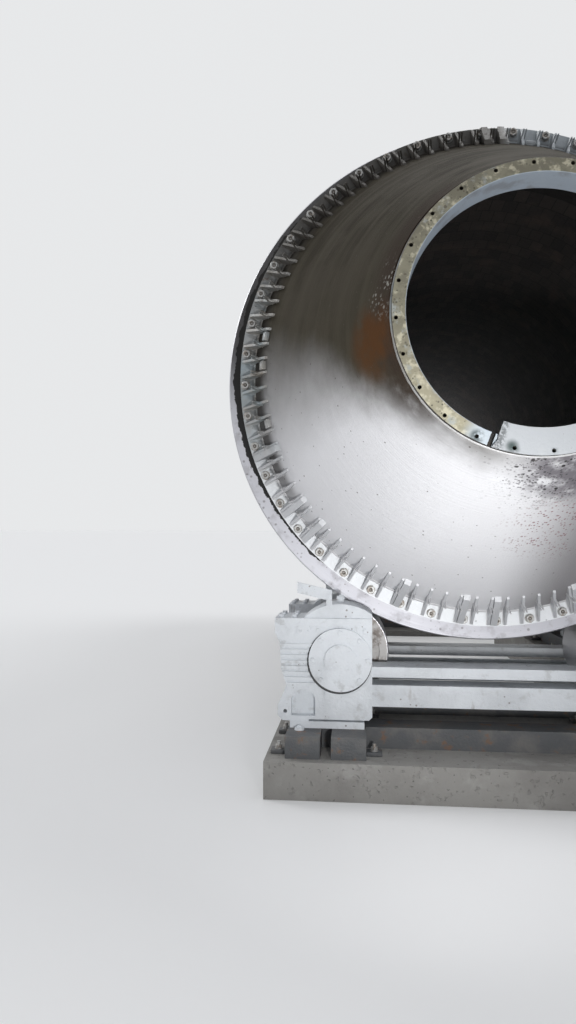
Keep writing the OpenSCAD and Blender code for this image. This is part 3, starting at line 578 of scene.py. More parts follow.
for hole in (11, 12, 13):
    drill(segment, hole, 0.1)
settle(segment, drum_frame)
segment_metal = bare("segment_metal", (0.47, 0.49, 0.51), 0.5)
segment_in_drum = in_drum()
segment_x, _, segment_z = drum_places()[:3]
cut_end = ramp(sums("ARCTAN2", times(segment_x, -1.0), times(segment_z, -1.0)),
    segment_half - 0.085, segment_half - 0.045)
stain(blotches(8.0, 0.52, 0.70, 6.0), (0.52, 0.53, 0.54), 0.7, 0.5)
for centre, near, far in (((-0.166, neck_face_y, -0.724), 0.022, 0.052),
    ((-0.140, neck_face_y, -0.742), 0.012, 0.034)):
    stain(times(blotches(30.0, 0.28, 0.50, 5.0),
        patch(centre, near, far, segment_in_drum)), (0.035, 0.06, 0.055), 0.97, 0.3)
stain(times(blotches(30.0, 0.30, 0.52, 5.0),
    patch((0.041, neck_face_y, -0.748), 0.020, 0.036, segment_in_drum)), (0.13, 0.15, 0.17), 0.9)
stain(specks(26.0, 0.16, 0.3), (0.14, 0.12, 0.10), 0.8)
stain(times(cut_end, blotches(75.0, 0.40, 0.56, 4.0)), (0.13, 0.14, 0.145), 0.85, 0.7)
grain(60.0, 0.0008)
fit_out(segment, "liner_segment", "drum", segment_metal)
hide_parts("neck_liner_segment")


# Flanges and gussets: two heavy rings bolted face to face, the front one stiffened to the cone by
# welded gussets. The plate is primed and browned. Painted shade darkens it high on the left,
# painted light pales it high on the right, and dust with painted lamp light makes it almost white
# low down.
def flange_finish(name, colour, pale):
    """Primed plate, bluish at the left. High on the left it has painted shade and high on the right
    painted light; low down it is pale with dust and with painted lamp light.
    """
    finish = bare(name, colour, 0.5, 0.2)
    x, _, z = drum_places()[:3]
    stain(blotches(7.0, 0.5, 0.66, 7.0), (0.20, 0.18, 0.15), 0.55, 0.7)
    stain(blotches(16.0, 0.60, 0.68, 6.0), (0.17, 0.10, 0.06), 0.6, 0.8)
    stain(specks(40.0, 0.3, 0.3), (0.08, 0.07, 0.06), 0.7)
    stain(times(ramp(sums("ABSOLUTE", z, 0.0), 0.9, 0.3),
        blotches(5.0, 0.4, 0.65)), (0.30, 0.38, 0.42), 0.6)
    # Pale low down: dust and painted lamp light. Paler high on the right: painted light. Dark high
    # on the left: painted shade.
    stain(ramp(z, -0.1, -1.0), pale, 0.93, 0.45)
    stain(times(ramp(x, 0.05, 0.20), ramp(z, 0.0, 0.6)), (0.46, 0.50, 0.53), 0.8)
    stain(times(ramp(x, 0.15, 0.05), ramp(z, 0.3, 1.2)), (0.040, 0.034, 0.027), 0.88)
    stain(times(specks(30.0, 0.25, 0.25), blotches(6.0, 0.5, 0.6)), (0.25, 0.25, 0.26), 0.6)
    relief(blotches(70.0, 0.25, 0.75, 6.0), 0.0012)
    return finish


gusset_steel = flange_finish("gusset_steel", (0.33, 0.32, 0.30), (0.62, 0.63, 0.65))
dress(gusset_steel, "flange_gussets")
flange_steel = flange_finish("flange_steel", (0.36, 0.37, 0.37), (0.80, 0.82, 0.84))
_, _, flange_z, flange_r, _ = drum_places()
# Darker in the corner by the cone, except at the bottom: painted shadow of the gussets.
stain(times(ramp(flange_r, 1.765, 1.74), ramp(flange_z, -1.2, -0.6)), (0.05, 0.046, 0.042), 0.6)
dress(flange_steel, "head_flange", "shell_flange")


def around(step, count, phase=0.0):
    """Angles round the drum, clockwise from the top seen from the feed end."""
    return [math.radians(phase + i * step) for i in range(count)]


def on_shell(angle, radius, along):
    """Place on the drum's outside, with the piece standing straight out from the axis."""
    return drum_frame @ Matrix.Rotation(angle, 4, "Y") @ moved(0.0, along, radius)


def on_ring(angle, radius, along, facing):
    """Place on a face of a ring, with the piece standing out of a face that looks along Y."""
    return on_shell(angle, radius, along) @ spun(-90.0 * facing, "X")


def set_out(pattern, places):
    """Copies a piece to each place, each copy with its own mesh, and joins the copies."""
    copies = []
    for place in places:
        copy = pattern.copy()
        copy.data = pattern.data.copy()
        copy.matrix_world = place @ pattern.matrix_world
        bpy.context.collection.objects.link(copy)
        copies.append(copy)
    bpy.data.objects.remove(pattern)
    select(*copies)
    if len(copies) > 1:
        bpy.ops.object.join()
    whole = bpy.context.object
    bpy.ops.object.transform_apply(location=True, rotation=True, scale=True)
    bpy.ops.object.select_all(action="DESELECT")
    return whole


def join(*pieces):
    """Makes one object of several, with their places in its mesh."""
    select(*pieces)
    bpy.ops.object.join()
    bpy.ops.object.transform_apply(location=True, rotation=True, scale=True)
    bpy.ops.object.select_all(action="DESELECT")
    return pieces[0]


def rod(radius, height, base=0.0, sides=16, tip=None):
    """A round or sided bar that stands on the ground plane of its own frame."""
    bpy.ops.mesh.primitive_cone_add(vertices=sides, radius1=radius, depth=height,
        radius2=radius if tip is None else tip, location=(0.0, 0.0, base + height / 2.0))
    return bpy.context.object


def bolt_head(across, height, washer=0.0):
    """A hexagon head with a chamfered top, on a washer if one is asked for."""
    head = rod(across / math.sqrt(3.0), height, washer, 6)
    chamfer(head, across * 0.05)
    return join(head, rod(across * 0.62, washer, 0.0, 18)) if washer else head


def bolts(places, *sizes):
    """Bolt heads of one size, joined."""
    return set_out(bolt_head(*sizes), places)


def open_nut(across, height, stud_r, recess):
    """A hexagon nut with room for a stud whose end lies below the top of the nut."""
    nut = bolt_head(across, height, 0.005)
    bore = rod(stud_r, recess * 2.0, 0.005 + height - recess, 16)
    cut(nut, bore)
    return nut


nut_metal = bare("nut_metal", (0.42, 0.42, 0.41), 0.4, 0.5)
stain(blotches(30.0, 0.5, 0.62, 4.0), (0.26, 0.20, 0.15), 0.6, 0.6)
grain(160.0, 0.0005, 3.0)
# The stud ends are dark, with painted shade for the recess they sit in.
stud_metal = bare("stud_metal", (0.16, 0.145, 0.13), 0.5, 0.5)
stain(blotches(40.0, 0.5, 0.6, 4.0), (0.07, 0.06, 0.05), 0.8, 0.7)
bolt_circle_r = 1.800
bolt_angles = around(7.5, 48, -1.55)
head_face_y, shell_start_y = -0.520, -0.400
nut_across, nut_height, stud_r, stud_recess = 0.055, 0.029, 0.0165, 0.010
front_bolts = [on_ring(a, bolt_circle_r, head_face_y, -1.0) for a in bolt_angles]
back_bolts = [on_ring(a, bolt_circle_r, shell_start_y, 1.0) for a in bolt_angles]
nuts = set_out(open_nut(nut_across, nut_height, stud_r, stud_recess), front_bolts)
heads = bolts(back_bolts, nut_across, 0.023, 0.005)
fit_out(join(nuts, heads), "flange_nuts", "drum", nut_metal)
stud_end = rod(stud_r - 0.001, 0.008, 0.005 + nut_height - stud_recess - 0.006, 12, stud_r - 0.003)
stud_mark = rod(0.005, 0.004, 0.005 + nut_height - stud_recess, 8, 0.003)
studs = set_out(stud_end, front_bolts)
fit_out(studs, "flange_studs", "drum", stud_metal)
fit_out(set_out(stud_mark, front_bolts), "stud_centres", "drum", nut_metal)


# Bay bars and blocks: heavy bars stand close beside some gussets, and between a few gusset tips a
# short block is welded to the cone. Same plate and primer as the gussets.
def block(size, rounding, middle):
    """A block with rounded edges."""
    bpy.ops.mesh.primitive_cube_add(size=1.0, location=middle)
    made = bpy.context.object
    bpy.ops.transform.resize(value=size)
    settle(made)
    modify(made, "BEVEL", width=rounding, segments=2)
    return made


cone_base_r, cone_top_r, cone_top_y = 1.730, 0.788, -2.132
cone_lean = (cone_base_r - cone_top_r) / (head_face_y - cone_top_y)
gusset_angles = around(3.75, 96, 0.325)
bars = frame["nodes"]["bay_bars"].copy()
bars.data = bars.data.copy()
bpy.context.collection.objects.link(bars)
block_angles = [gusset_angles[i] + math.radians(1.875) for i in (2, 68, 72, 74)]


def of_block(corner):
    """Whether a corner belongs to one of the CAD blocks between gusset tips."""
    turn = math.atan2(corner.co.x, corner.co.z)
    return any(math.cos(turn - a) > math.cos(math.radians(1.6)) for a in block_angles)


settle(bars, drum_frame.inverted(), merge=0.0001)
edit(bars)
pick("verts", of_block)
bpy.ops.mesh.delete(type="VERT")
bpy.ops.object.mode_set(mode="OBJECT")
settle(bars, drum_frame)
short_block = block((0.064, 0.052, 0.032), 0.004, (0.0, 0.0, 0.008))
block_y = head_face_y - 0.165
blocks = set_out(short_block, [drum_frame @ Matrix.Rotation(a, 4, "Y")
    @ moved(0.0, block_y, cone_base_r + cone_lean * (block_y - head_face_y) + 0.008)
    @ Matrix.Rotation(math.atan(cone_lean), 4, "X") for a in block_angles])
fit_out(join(bars, blocks), "bay_bar_set", "drum", gusset_steel)
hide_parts("bay_bars")


# Weld beads: each gusset has a fillet on both of its sides, along the flange and up the cone, and
# a ring of weld closes the cone to the flange and the neck to the cone.
def bead(length, radius, seed, sides=6, cuts=4):
    """A straight weld bead along its own X axis, a little uneven along its length."""
    bpy.ops.mesh.primitive_cylinder_add(vertices=sides, radius=radius, depth=length,
        rotation=(0.0, math.radians(90.0), 0.0))
    run = bpy.context.object
    bpy.ops.object.transform_apply(rotation=True)
    edit(run)
    pick("edges", lambda edge: abs(edge.verts[0].co.x - edge.verts[1].co.x) > length * 0.9)
    bpy.ops.mesh.subdivide(number_cuts=cuts)
    bpy.ops.mesh.select_all(action="SELECT")
    bpy.ops.transform.vertex_random(offset=radius * 0.22, seed=seed)
    bpy.ops.object.mode_set(mode="OBJECT")
    return run


def ring_bead(radius, along, thick, seed):
    """A weld that runs right round the drum."""
    bpy.ops.mesh.primitive_torus_add(major_radius=radius, minor_radius=thick, major_segments=180,
        minor_segments=8, location=(0.0, along, 0.0), rotation=(math.radians(90.0), 0.0, 0.0))
    run = bpy.context.object
    edit(run)
    bpy.ops.transform.vertex_random(offset=thick * 0.2, seed=seed)
    settle(run, drum_frame)
    return run


gusset_half, gusset_rise, flange_out_r = 0.009, 0.200, 1.832
bead_r = 0.0065
weld_metal = flange_finish("weld_metal", (0.30, 0.29, 0.27), (0.66, 0.66, 0.67))
fillets = []
for side in (-1.0, 1.0):
    foot = bead(flange_out_r - cone_base_r, bead_r, 3, 5, 3)
    foot.matrix_world = (moved(side * gusset_half, head_face_y, (flange_out_r + cone_base_r) / 2.0)
        @ spun(90.0, "Y"))
    up = bead(gusset_rise * math.hypot(1.0, cone_lean), bead_r, 5, 5, 5)
    up.matrix_world = (moved(side * gusset_half, head_face_y - gusset_rise / 2.0,
        cone_base_r - cone_lean * gusset_rise / 2.0)
        @ Matrix.Rotation(-math.atan(cone_lean), 4, "X") @ spun(90.0, "Z"))
    fillets += [foot, up]
gusset_welds = set_out(join(*fillets), [drum_frame @ Matrix.Rotation(a, 4, "Y")
    for a in gusset_angles])
fit_out(gusset_welds, "gusset_welds", "drum", weld_metal, 60.0)
head_welds = join(ring_bead(cone_base_r, head_face_y, 0.010, 1),
    ring_bead(neck_outer_r, cone_top_y, 0.009, 2))
fit_out(head_welds, "head_welds", "drum", weld_metal, 60.0)

# Shell: three courses of rolled plate, butt welded round and along. Grey heat-resistant paint,
# scorched in broad rings, with rust run down from the seams.
shell_r, seam_ys = 1.700, (0.700, 6.300)
shell_paint = bare("shell_paint", (0.31, 0.305, 0.30), 0.6, 0.1)
shell_y = drum_places()[1]
stain(blotches(1.0, 0.42, 0.64, 6.0, places=round_the_drum(1.1, 0.9)), (0.40, 0.385, 0.37), 0.8)
stain(blotches(1.4, 0.5, 0.66, 8.0, (0.4, 2.2, 1.0)), (0.24, 0.16, 0.11), 0.65, 0.75)
for seam_y in seam_ys:
    stain(times(between(shell_y, seam_y - 0.1, seam_y + 0.1, 0.25), blotches(3.0, 0.45, 0.65, 8.0)),
        (0.30, 0.15, 0.07), 0.8, 0.85)
stain(blotches(45.0, 0.63, 0.70, 3.0), (0.14, 0.12, 0.11), 0.6)
grain(2.0, 0.006, 3.0)
grain(80.0, 0.001)
dress(shell_paint, "feed_course", "middle_course", "discharge_course", "feed_ring_pads",
    "discharge_ring_pads")

seams = [ring_bead(shell_r, seam_y, 0.010, seed) for seam_y, seed in zip(seam_ys, (11, 12))]
for start, end, turn in ((0.715, 2.40, 37.5), (2.80, 6.285, 37.5), (6.315, 6.66, 127.5),
    (7.34, 8.17, 127.5), (-0.36, -0.34, 217.5), (0.33, 0.685, 217.5)):
    long_seam = bead(end - start, 0.010, 13, 6, 40)
    long_seam.matrix_world = (on_shell(math.radians(turn), shell_r, (start + end) / 2.0)
        @ spun(90.0, "Z"))
    seams.append(long_seam)
fit_out(join(*seams), "shell_seams", "drum", shell_paint, 60.0)

# Ring pads: flat filler bars between shell and riding ring, each with a stop block at both ends
# that keeps the ring in place. The ends are welded to the shell.
station_ys, pad_end_y, pad_width = (0.0, 7.0), 0.311, 0.240
pad_places = []
for station_y in station_ys:
    for a in around(15.0, 24):
        for end in (-1.0, 1.0):
            pad_places.append(on_shell(a, shell_r, station_y + end * pad_end_y))
pad_welds = set_out(bead(pad_width - 0.01, 0.009, 21, 6, 6), pad_places)
fit_out(pad_welds, "pad_welds", "drum", weld_metal, 60.0)

# Riding rings: forged and turned. The running face is bright and finely scored and the sides are
# pale. Painted shade darkens the upper half of the sides, and a black painted shadow of the head
# flange lies over their inner part.
ring_metal = bare("ring_metal", (0.55, 0.55, 0.58), 0.4, 0.6)
_, _, ring_z, ring_r, _ = drum_places()
ring_side_r = 1.9665
side_mask = ramp(ring_r, ring_side_r + 0.002, ring_side_r)
stain(blotches(1.0, 0.42, 0.60, 5.0, places=round_the_drum(40.0, 0.6)),
    (0.44, 0.43, 0.45), 0.7, 0.42)
stain(side_mask, (0.58, 0.58, 0.62), 0.85, 0.5)
stain(times(side_mask, blotches(9.0, 0.50, 0.64, 7.0)), (0.36, 0.35, 0.37), 0.5, 0.55)
stain(times(side_mask, specks(30.0, 0.35, 0.4)), (0.16, 0.15, 0.15), 0.6)
# Darker over the upper half of the sides: painted shade.
stain(times(side_mask, ramp(ring_z, -0.35, 0.35)), (0.035, 0.032, 0.03), 0.9, 0.45)
# A black band over the inner part of the sides, wider low down: painted shadow of the head flange.
flange_shadow_edge = plus(ring_r, times(ramp(ring_z, 0.1, -1.25), 0.060),
    times(ramp(ring_z, -1.25, -1.7), 0.060), times(blotches(14.0, 0.3, 0.7, 8.0), 0.022))
stain(times(side_mask, ramp(flange_shadow_edge, 1.950, 1.946)), (0.014, 0.013, 0.012), 0.98, 0.35)
relief(blotches(1.0, 0.3, 0.7, places=round_the_drum(300.0, 1.0)), 0.0004)
dress(ring_metal, "feed_riding_ring", "discharge_riding_ring")

# Brick lining: wedge bricks in rings, each ring a brick's length along the drum, black with soot.
# Only the joints show a little of the pale mortar.
bricks_round, brick_length = 91.0, 0.198
sooty_brick = bare("sooty_brick", (0.055, 0.048, 0.043), 0.85)
brick_x, brick_y, brick_z = drum_places()[:3]
turns = times(sums("ARCTAN2", brick_x, brick_z), bricks_round / (2.0 * math.pi))
laid = node("CombineXYZ")
wire(turns, laid.inputs["X"])
wire(times(brick_y, 1.0 / brick_length), laid.inputs["Y"])
courses = node("TexBrick")
for key, value in (("Color1", (0.060, 0.050, 0.044, 1.0)), ("Color2", (0.035, 0.031, 0.030, 1.0)),
    ("Mortar", (0.022, 0.020, 0.019, 1.0))):
    courses.inputs[key].default_value = value
for key, value in (("Scale", 1.0), ("Mortar Size", 0.03), ("Mortar Smooth", 0.3),
    ("Brick Width", 1.0), ("Row Height", 1.0)):
    courses.inputs[key].default_value = value
wire(laid.outputs[0], courses.inputs["Vector"])
wire(courses.outputs["Color"], surface()["Base Color"])
stain(blotches(3.0, 0.5, 0.7, 8.0), (0.10, 0.075, 0.06), 0.5)
relief(sums("SUBTRACT", 1.0, courses.outputs["Fac"]), 0.006)
grain(22.0, 0.006)
dress(sooty_brick, "brick_lining")

# Nose ring: heat-resistant castings bolted over the end of the shell to hold the last bricks. They
# are scaled and reddish, with a narrow gap between one casting and the next.
nose_castings = 24
cast_nose = bare("cast_nose", (0.27, 0.21, 0.17), 0.7, 0.35)
nose_x, _, nose_z = drum_places()[:3]
stain(blotches(5.0, 0.45, 0.62, 8.0), (0.36, 0.20, 0.11), 0.7, 0.8)
stain(blotches(14.0, 0.56, 0.66, 6.0), (0.12, 0.09, 0.075), 0.7)
nose_turn = times(sums("ARCTAN2", nose_x, nose_z), nose_castings / (2.0 * math.pi))
nose_gap = sums("ABSOLUTE", plus(sums("FRACT", plus(nose_turn, 100.0), 0.0), -0.5), 0.0)
gap_line = ramp(nose_gap, 0.012, 0.006)
stain(gap_line, (0.02, 0.018, 0.016), 0.95)
relief(sums("SUBTRACT", 1.0, gap_line), 0.006)
grain(45.0, 0.003)
dress(cast_nose, "nose_ring")
nose_bolts = bolts([on_shell(math.radians(angle + shift), 1.740, 8.235)
    for angle in range(0, 360, 15) for shift in (3.75, 11.25)], 0.046, 0.020, 0.006)
fit_out(nose_bolts, "nose_bolts", "drum", nut_metal)

# Girth gear: cast in two halves that are bolted together, and hung on spring plates that are bolted
# to the shell. The teeth are black with grease, and bare where they work.
gear_y, gear_root_r = 2.600, 2.043
gear_metal = bare("gear_metal", (0.30, 0.29, 0.28), 0.55, 0.35)
gear_r = drum_places()[3]
stain(blotches(5.0, 0.45, 0.62, 7.0), (0.22, 0.17, 0.13), 0.65, 0.7)
teeth = ramp(gear_r, gear_root_r - 0.02, gear_root_r + 0.005)
stain(teeth, (0.30, 0.29, 0.28), 0.9, 0.3)
stain(times(teeth, blotches(14.0, 0.40, 0.56, 6.0)), (0.022, 0.02, 0.017), 0.95, 0.22)
grain(50.0, 0.0015)
dress(gear_metal, "girth_gear")
dress(shell_paint, "gear_spring_plates")
spring_angles = around(30.0, 12)
spring_top = 1.720
spring_bolts = [on_shell(a, spring_top, gear_y + along) @ moved(x, 0.0, 0.0)
    for a in spring_angles for x in (-0.032, 0.055) for along in (-0.105, -0.035, 0.035, 0.105)]
fit_out(bolts(spring_bolts, 0.036, 0.015, 0.004), "spring_bolts", "drum", nut_metal)

bpy.ops.mesh.primitive_cube_add(size=1.0, location=(0.885, 0.0, spring_top + 0.035))
rib = bpy.context.object
bpy.ops.transform.resize(value=(0.15, 0.028, 0.07))
bpy.ops.object.transform_apply(location=True, scale=True)
edit(rib)
pick("verts", lambda corner: corner.co.x > 0.9 and corner.co.z > spring_top + 0.05)
bpy.ops.transform.translate(value=(0.0, 0.0, -0.071))
pick("verts", lambda corner: corner.co.x < 0.9 and corner.co.z > spring_top + 0.05)
bpy.ops.transform.translate(value=(0.0, 0.0, -0.005))
settle(rib, merge=0.002)
ribs = set_out(rib, [on_shell(a, 0.0, gear_y + along) for a in spring_angles
    for along in (-0.10, 0.0, 0.10)])
fit_out(ribs, "spring_ribs", "drum", shell_paint)

half_joint = block((0.048, 0.270, 0.088), 0.008, (0.026, 0.0, 1.925))
halves = [(math.radians(angle), side) for angle in (15.0, 195.0)
    for side in (Matrix(), Matrix.Rotation(math.pi, 4, "Z"))]
half_joints = set_out(half_joint, [on_shell(a, 0.0, gear_y) @ side for a, side in halves])
fit_out(half_joints, "gear_joint_blocks", "drum", gear_metal)
joint_bolts = [on_shell(a, 1.912, gear_y + along) @ side @ moved(0.050, 0.0, 0.0)
    @ spun(90.0, "Y") for a, side in halves for along in (-0.09, 0.0, 0.09)]
joint_heads = bolts(joint_bolts, 0.046, 0.022, 0.005)
fit_out(joint_heads, "gear_joint_bolts", "drum", nut_metal)


# Support rollers: forged rollers on through shafts, in the same steel as the riding rings. Their
# faces run bright, their sides are dished and dull, and grease lies round the shafts.
def joint_named(name):
    return next(joint for joint in frame["joints"] if joint["name"] == name)


def frame_at(name):
    """A frame at a joint, lying along the drum."""
    return Matrix.Translation(joint_named(name)["pos_m"]) @ Matrix.Rotation(-slope, 4, "X")


def running_steel(name, origin, face_r, shaft_r):
    """Machined steel that runs bright at its rim, dull on its sides and greasy at its shaft."""
    finish = bare(name, (0.53, 0.53, 0.55), 0.32, 0.75)
    radius = drum_places(origin)[3]
    side = ramp(radius, face_r - 0.010, face_r - 0.013)
    stain(side, (0.36, 0.35, 0.34), 0.9, 0.55)
    stain(times(side, blotches(11.0, 0.48, 0.62, 7.0)), (0.17, 0.14, 0.12), 0.75, 0.6)
    near_shaft = ramp(radius, shaft_r + 0.09, shaft_r + 0.02)
    stain(times(near_shaft, blotches(16.0, 0.36, 0.54, 5.0)), (0.03, 0.027, 0.023), 0.9, 0.28)
    grain(60.0, 0.0006, 5.0)
    return finish


roller_face_r, roller_shaft_r = 0.360, 0.130
roller_names = [station + side + "_roller" for station in ("feed_", "discharge_")
    for side in ("left", "right")]
for name in roller_names:
    centre = joint_named(name + "_spin")["pos_m"]
    dress(running_steel(name + "_steel", centre, roller_face_r, roller_shaft_r), name)

# Bearing housings: ribbed castings with a lid over the shaft, an end cover and a capped boss, all
# in dusty white paint that is rubbed, chipped and stained with oil. Bolts are painted over. A black
# ring behind each cover is painted shade in the groove round the cover.
white_paint = bare("white_paint", (0.76, 0.79, 0.82), 0.45)
stain(blotches(2.6, 0.45, 0.66, 7.0), (0.63, 0.655, 0.68), 0.75, 0.6)
stain(blotches(9.0, 0.56, 0.70, 8.0), (0.42, 0.42, 0.41), 0.45, 0.7)
stain(blotches(6.0, 0.62, 0.72, 6.0, (1.0, 1.0, 0.25)), (0.25, 0.21, 0.17), 0.5, 0.5)
stain(specks(26.0, 0.20, 0.25), (0.16, 0.13, 0.11), 0.7)
grain(42.0, 0.0018)
grain(160.0, 0.0004, 3.0)
for station in ("feed_", "discharge_"):
    dress(white_paint, station + "left_housings", station + "right_housings",
        station + "housing_lids", station + "end_covers")
dress(white_paint, "guard_strip", "tie_beams", "thrust_bracket", "pinion_bearings",
    "coupling_guard")


def standing(base, x, along, z, facing):
    """Place on a face that looks towards the feed end, towards the discharge end, or up."""
    turn = {"front": 90.0, "back": -90.0, "up": 0.0}[facing]
    return base @ moved(x, along, z) @ spun(turn, "X")


def circle(count, radius, phase=0.0):
    """Points evenly round a circle, as x and z."""
    return [(radius * math.sin(math.radians(phase + i * 360.0 / count)),
        radius * math.cos(math.radians(phase + i * 360.0 / count))) for i in range(count)]


housing_ends = [(frame_at(name + "_spin"), 1.0 if "left" in name else -1.0, end, facing)
    for name in roller_names for end, facing in ((-1.0, "front"), (1.0, "back"))]


def at_housings(spots, up=False):
    """The same spots on all housings, as x, y outwards and z, on an end face or facing up."""
    return [standing(base, side * x, end * y, z, "up" if up else facing)
        for base, side, end, facing in housing_ends for x, y, z in spots]


cover_y, cap_y, boss_y, boss_z = 0.738, 0.763, 0.700, 0.208
lid_flange_z, sole_top_z, dome_top_z = 0.293, -0.442, 0.394
plug = join(rod(0.034, 0.007, 0.0, 24), rod(0.024, 0.006, 0.007, 24, 0.020))
cover_bolts = [(x, cover_y, z) for x, z in circle(8, 0.196) if z > -0.17]
cap_bolts = [(x, cap_y, z) for x, z in circle(4, 0.088, 45.0)]
lid_bolts = [(x, y, lid_flange_z) for x in (-0.43, -0.335) for y in (0.390, 0.520, 0.650)]
body_bolts = [(x, boss_y, boss_z) for x in (-0.158, 0.175)]
painted_bolts = [set_out(plug, at_housings([(-0.257, boss_y, boss_z)])),
    bolts(at_housings(cover_bolts), 0.030, 0.013, 0.003),
    bolts(at_housings(cap_bolts), 0.017, 0.008, 0.002),
    bolts(at_housings(lid_bolts, True), 0.036, 0.016, 0.004),
    bolts(at_housings(body_bolts), 0.024, 0.010, 0.003)]
fit_out(join(*painted_bolts), "housing_bolts", "frame", white_paint)

sole_nuts = bolts(at_housings([(-0.266, 0.665, sole_top_z)], True), 0.055, 0.029, 0.006)
fit_out(sole_nuts, "sole_nuts", "frame", nut_metal)
foot = join(rod(0.036, 0.016, 0.0, 24, 0.033), bolt_head(0.030, 0.012, 0.018))
levelling_feet = set_out(foot, at_housings([(-0.288, 0.760, -0.490)], True))
fit_out(levelling_feet, "levelling_feet", "frame", white_paint)
# A black ring behind each cover, set low and to the left: painted shade in the groove round it.
cover_shade_ring = ring_solid(0.205, 0.232, -0.012, 0.012, 64)
shade_ring_places = [base @ moved(-0.006, end * 0.705, -0.012) for base, _, end, _ in housing_ends]
oily_black = bare("oily_black", (0.018, 0.019, 0.022), 0.4)
stain(blotches(9.0, 0.50, 0.66, 6.0), (0.06, 0.06, 0.06), 0.6)
fit_out(set_out(cover_shade_ring, shade_ring_places), "cover_seals", "frame", oily_black)
breather = join(rod(0.026, 0.030, -0.006, 20), rod(0.034, 0.022, 0.024, 20, 0.030),
    bolt_head(0.030, 0.056))
breathers = set_out(breather, at_housings([(0.0, 0.520, dome_top_z)], True))
fit_out(breathers, "breathers", "frame", white_paint)

# Bed frames and piers: box girders of dark plate under each station, held to the concrete by clips
# and anchor bolts. The concrete is cast, stained with oil and dust.
bed_paint = bare("bed_paint", (0.10, 0.105, 0.11), 0.6, 0.1)
stain(blotches(3.0, 0.45, 0.65, 8.0), (0.20, 0.19, 0.18), 0.7, 0.75)
stain(blotches(12.0, 0.57, 0.67, 6.0), (0.22, 0.12, 0.07), 0.7, 0.8)
grain(50.0, 0.0015)
dress(bed_paint, "feed_bed_frame", "discharge_bed_frame", "drive_bed_frame")
cast_concrete = bare("cast_concrete", (0.34, 0.33, 0.31), 0.9)
stain(blotches(1.2, 0.40, 0.62, 8.0), (0.25, 0.24, 0.225), 0.8)
stain(blotches(4.0, 0.52, 0.68, 8.0), (0.44, 0.43, 0.41), 0.6)
stain(blotches(2.0, 0.60, 0.70, 5.0), (0.09, 0.08, 0.07), 0.7, 0.5)
stain(blotches(30.0, 0.66, 0.70, 2.0), (0.12, 0.115, 0.11), 0.7)
grain(12.0, 0.004, 8.0)
relief(blotches(26.0, 0.62, 0.72, 2.0), -0.006)
dress(cast_concrete, "feed_pier", "discharge_pier", "drive_pier")

bed_foot_z, drive_foot_z, clip_out = -0.640, -0.570, 0.056
bed_left_x, bed_right_x, drive_left_x, drive_right_x = -0.373, 0.184, -0.360, 0.980
clips = []
for name in roller_names:
    base = frame_at(name + "_spin")
    side = 1.0 if "left" in name else -1.0
    for along in (-0.80, -0.28, 0.28, 0.80):
        for x in (bed_left_x - clip_out, bed_right_x + clip_out):
            clips.append(standing(base, side * x, along, bed_foot_z, "up"))
pinion_frame = frame_at("pinion_spin")


def on_drive(x, along, z, facing="up"):
    """Place on a piece of the drive, measured from the middle of the pinion."""
    return standing(pinion_frame, x, along, z, facing)


for x in (drive_left_x - clip_out, drive_right_x + clip_out):
    for along in (-0.30, 0.50, 1.30, 2.10):
        clips.append(on_drive(x, along, drive_foot_z))
clip_height = 0.028
clip = block((0.110, 0.100, clip_height), 0.006, (0.0, 0.0, clip_height / 2.0))
fit_out(set_out(clip, clips), "anchor_clips", "frame", bed_paint)
anchor = join(bolt_head(0.046, 0.024, 0.005), rod(0.015, 0.030, 0.020, 12, 0.014))
anchor.data.transform(moved(0.0, 0.0, clip_height))
fit_out(set_out(anchor, clips), "anchor_nuts", "frame", nut_metal)

# Thrust roller: a cone on an upright shaft that holds the discharge riding ring from rolling down
# hill. Its bearing block stands on a webbed bracket, in the housings' white paint.
all_bright_r, thrust_y, thrust_lean = 9.0, 7.2503, 9.0
centre = joint_named("thrust_roller_spin")["pos_m"]
dress(running_steel("thrust_steel", centre, all_bright_r, 0.0), "thrust_roller")
thrust_frame = drum_frame @ moved(0.0, thrust_y, 0.0) @ spun(thrust_lean, "X")
thrust_block_z, bracket_start_y, bracket_top_z = -2.070, 7.2803, -2.4314
block_bolts = [thrust_frame @ moved(x, y, thrust_block_z) for x, y in circle(8, 0.155, 22.5)]
bracket_bolts = [drum_frame @ moved(x, bracket_start_y + y, bracket_top_z)
    for x in (-0.222, 0.222) for y in (0.055, 0.565)]
thrust_bolts = join(bolts(block_bolts, 0.024, 0.010, 0.003),
    bolts(bracket_bolts, 0.046, 0.022, 0.006))
fit_out(thrust_bolts, "thrust_bolts", "frame", white_paint)

# Pinion and its bearings: a greased pinion on a long shaft with a bolted coupling half. Each
# bearing is split, with two cap nuts a side, ring covers at both ends and bolts in its foot.
tooth_half = 0.170
pinion_steel = bare("pinion_steel", (0.45, 0.45, 0.46), 0.35, 0.7)
stain(times(between(drum_places()[1], gear_y - tooth_half, gear_y + tooth_half, 0.02),
    blotches(14.0, 0.36, 0.52, 6.0)), (0.022, 0.02, 0.017), 0.95, 0.22)
stain(blotches(20.0, 0.54, 0.66, 6.0), (0.20, 0.16, 0.13), 0.6, 0.6)
grain(70.0, 0.0006, 5.0)
dress(pinion_steel, "pinion")
coupling_bolts = ([on_drive(x, 0.545, z, "front") for x, z in circle(8, 0.148)]
    + [on_drive(x, 0.590, z, "back") for x, z in circle(8, 0.148)])
fit_out(bolts(coupling_bolts, 0.024, 0.013), "coupling_bolts", "pinion", nut_metal)

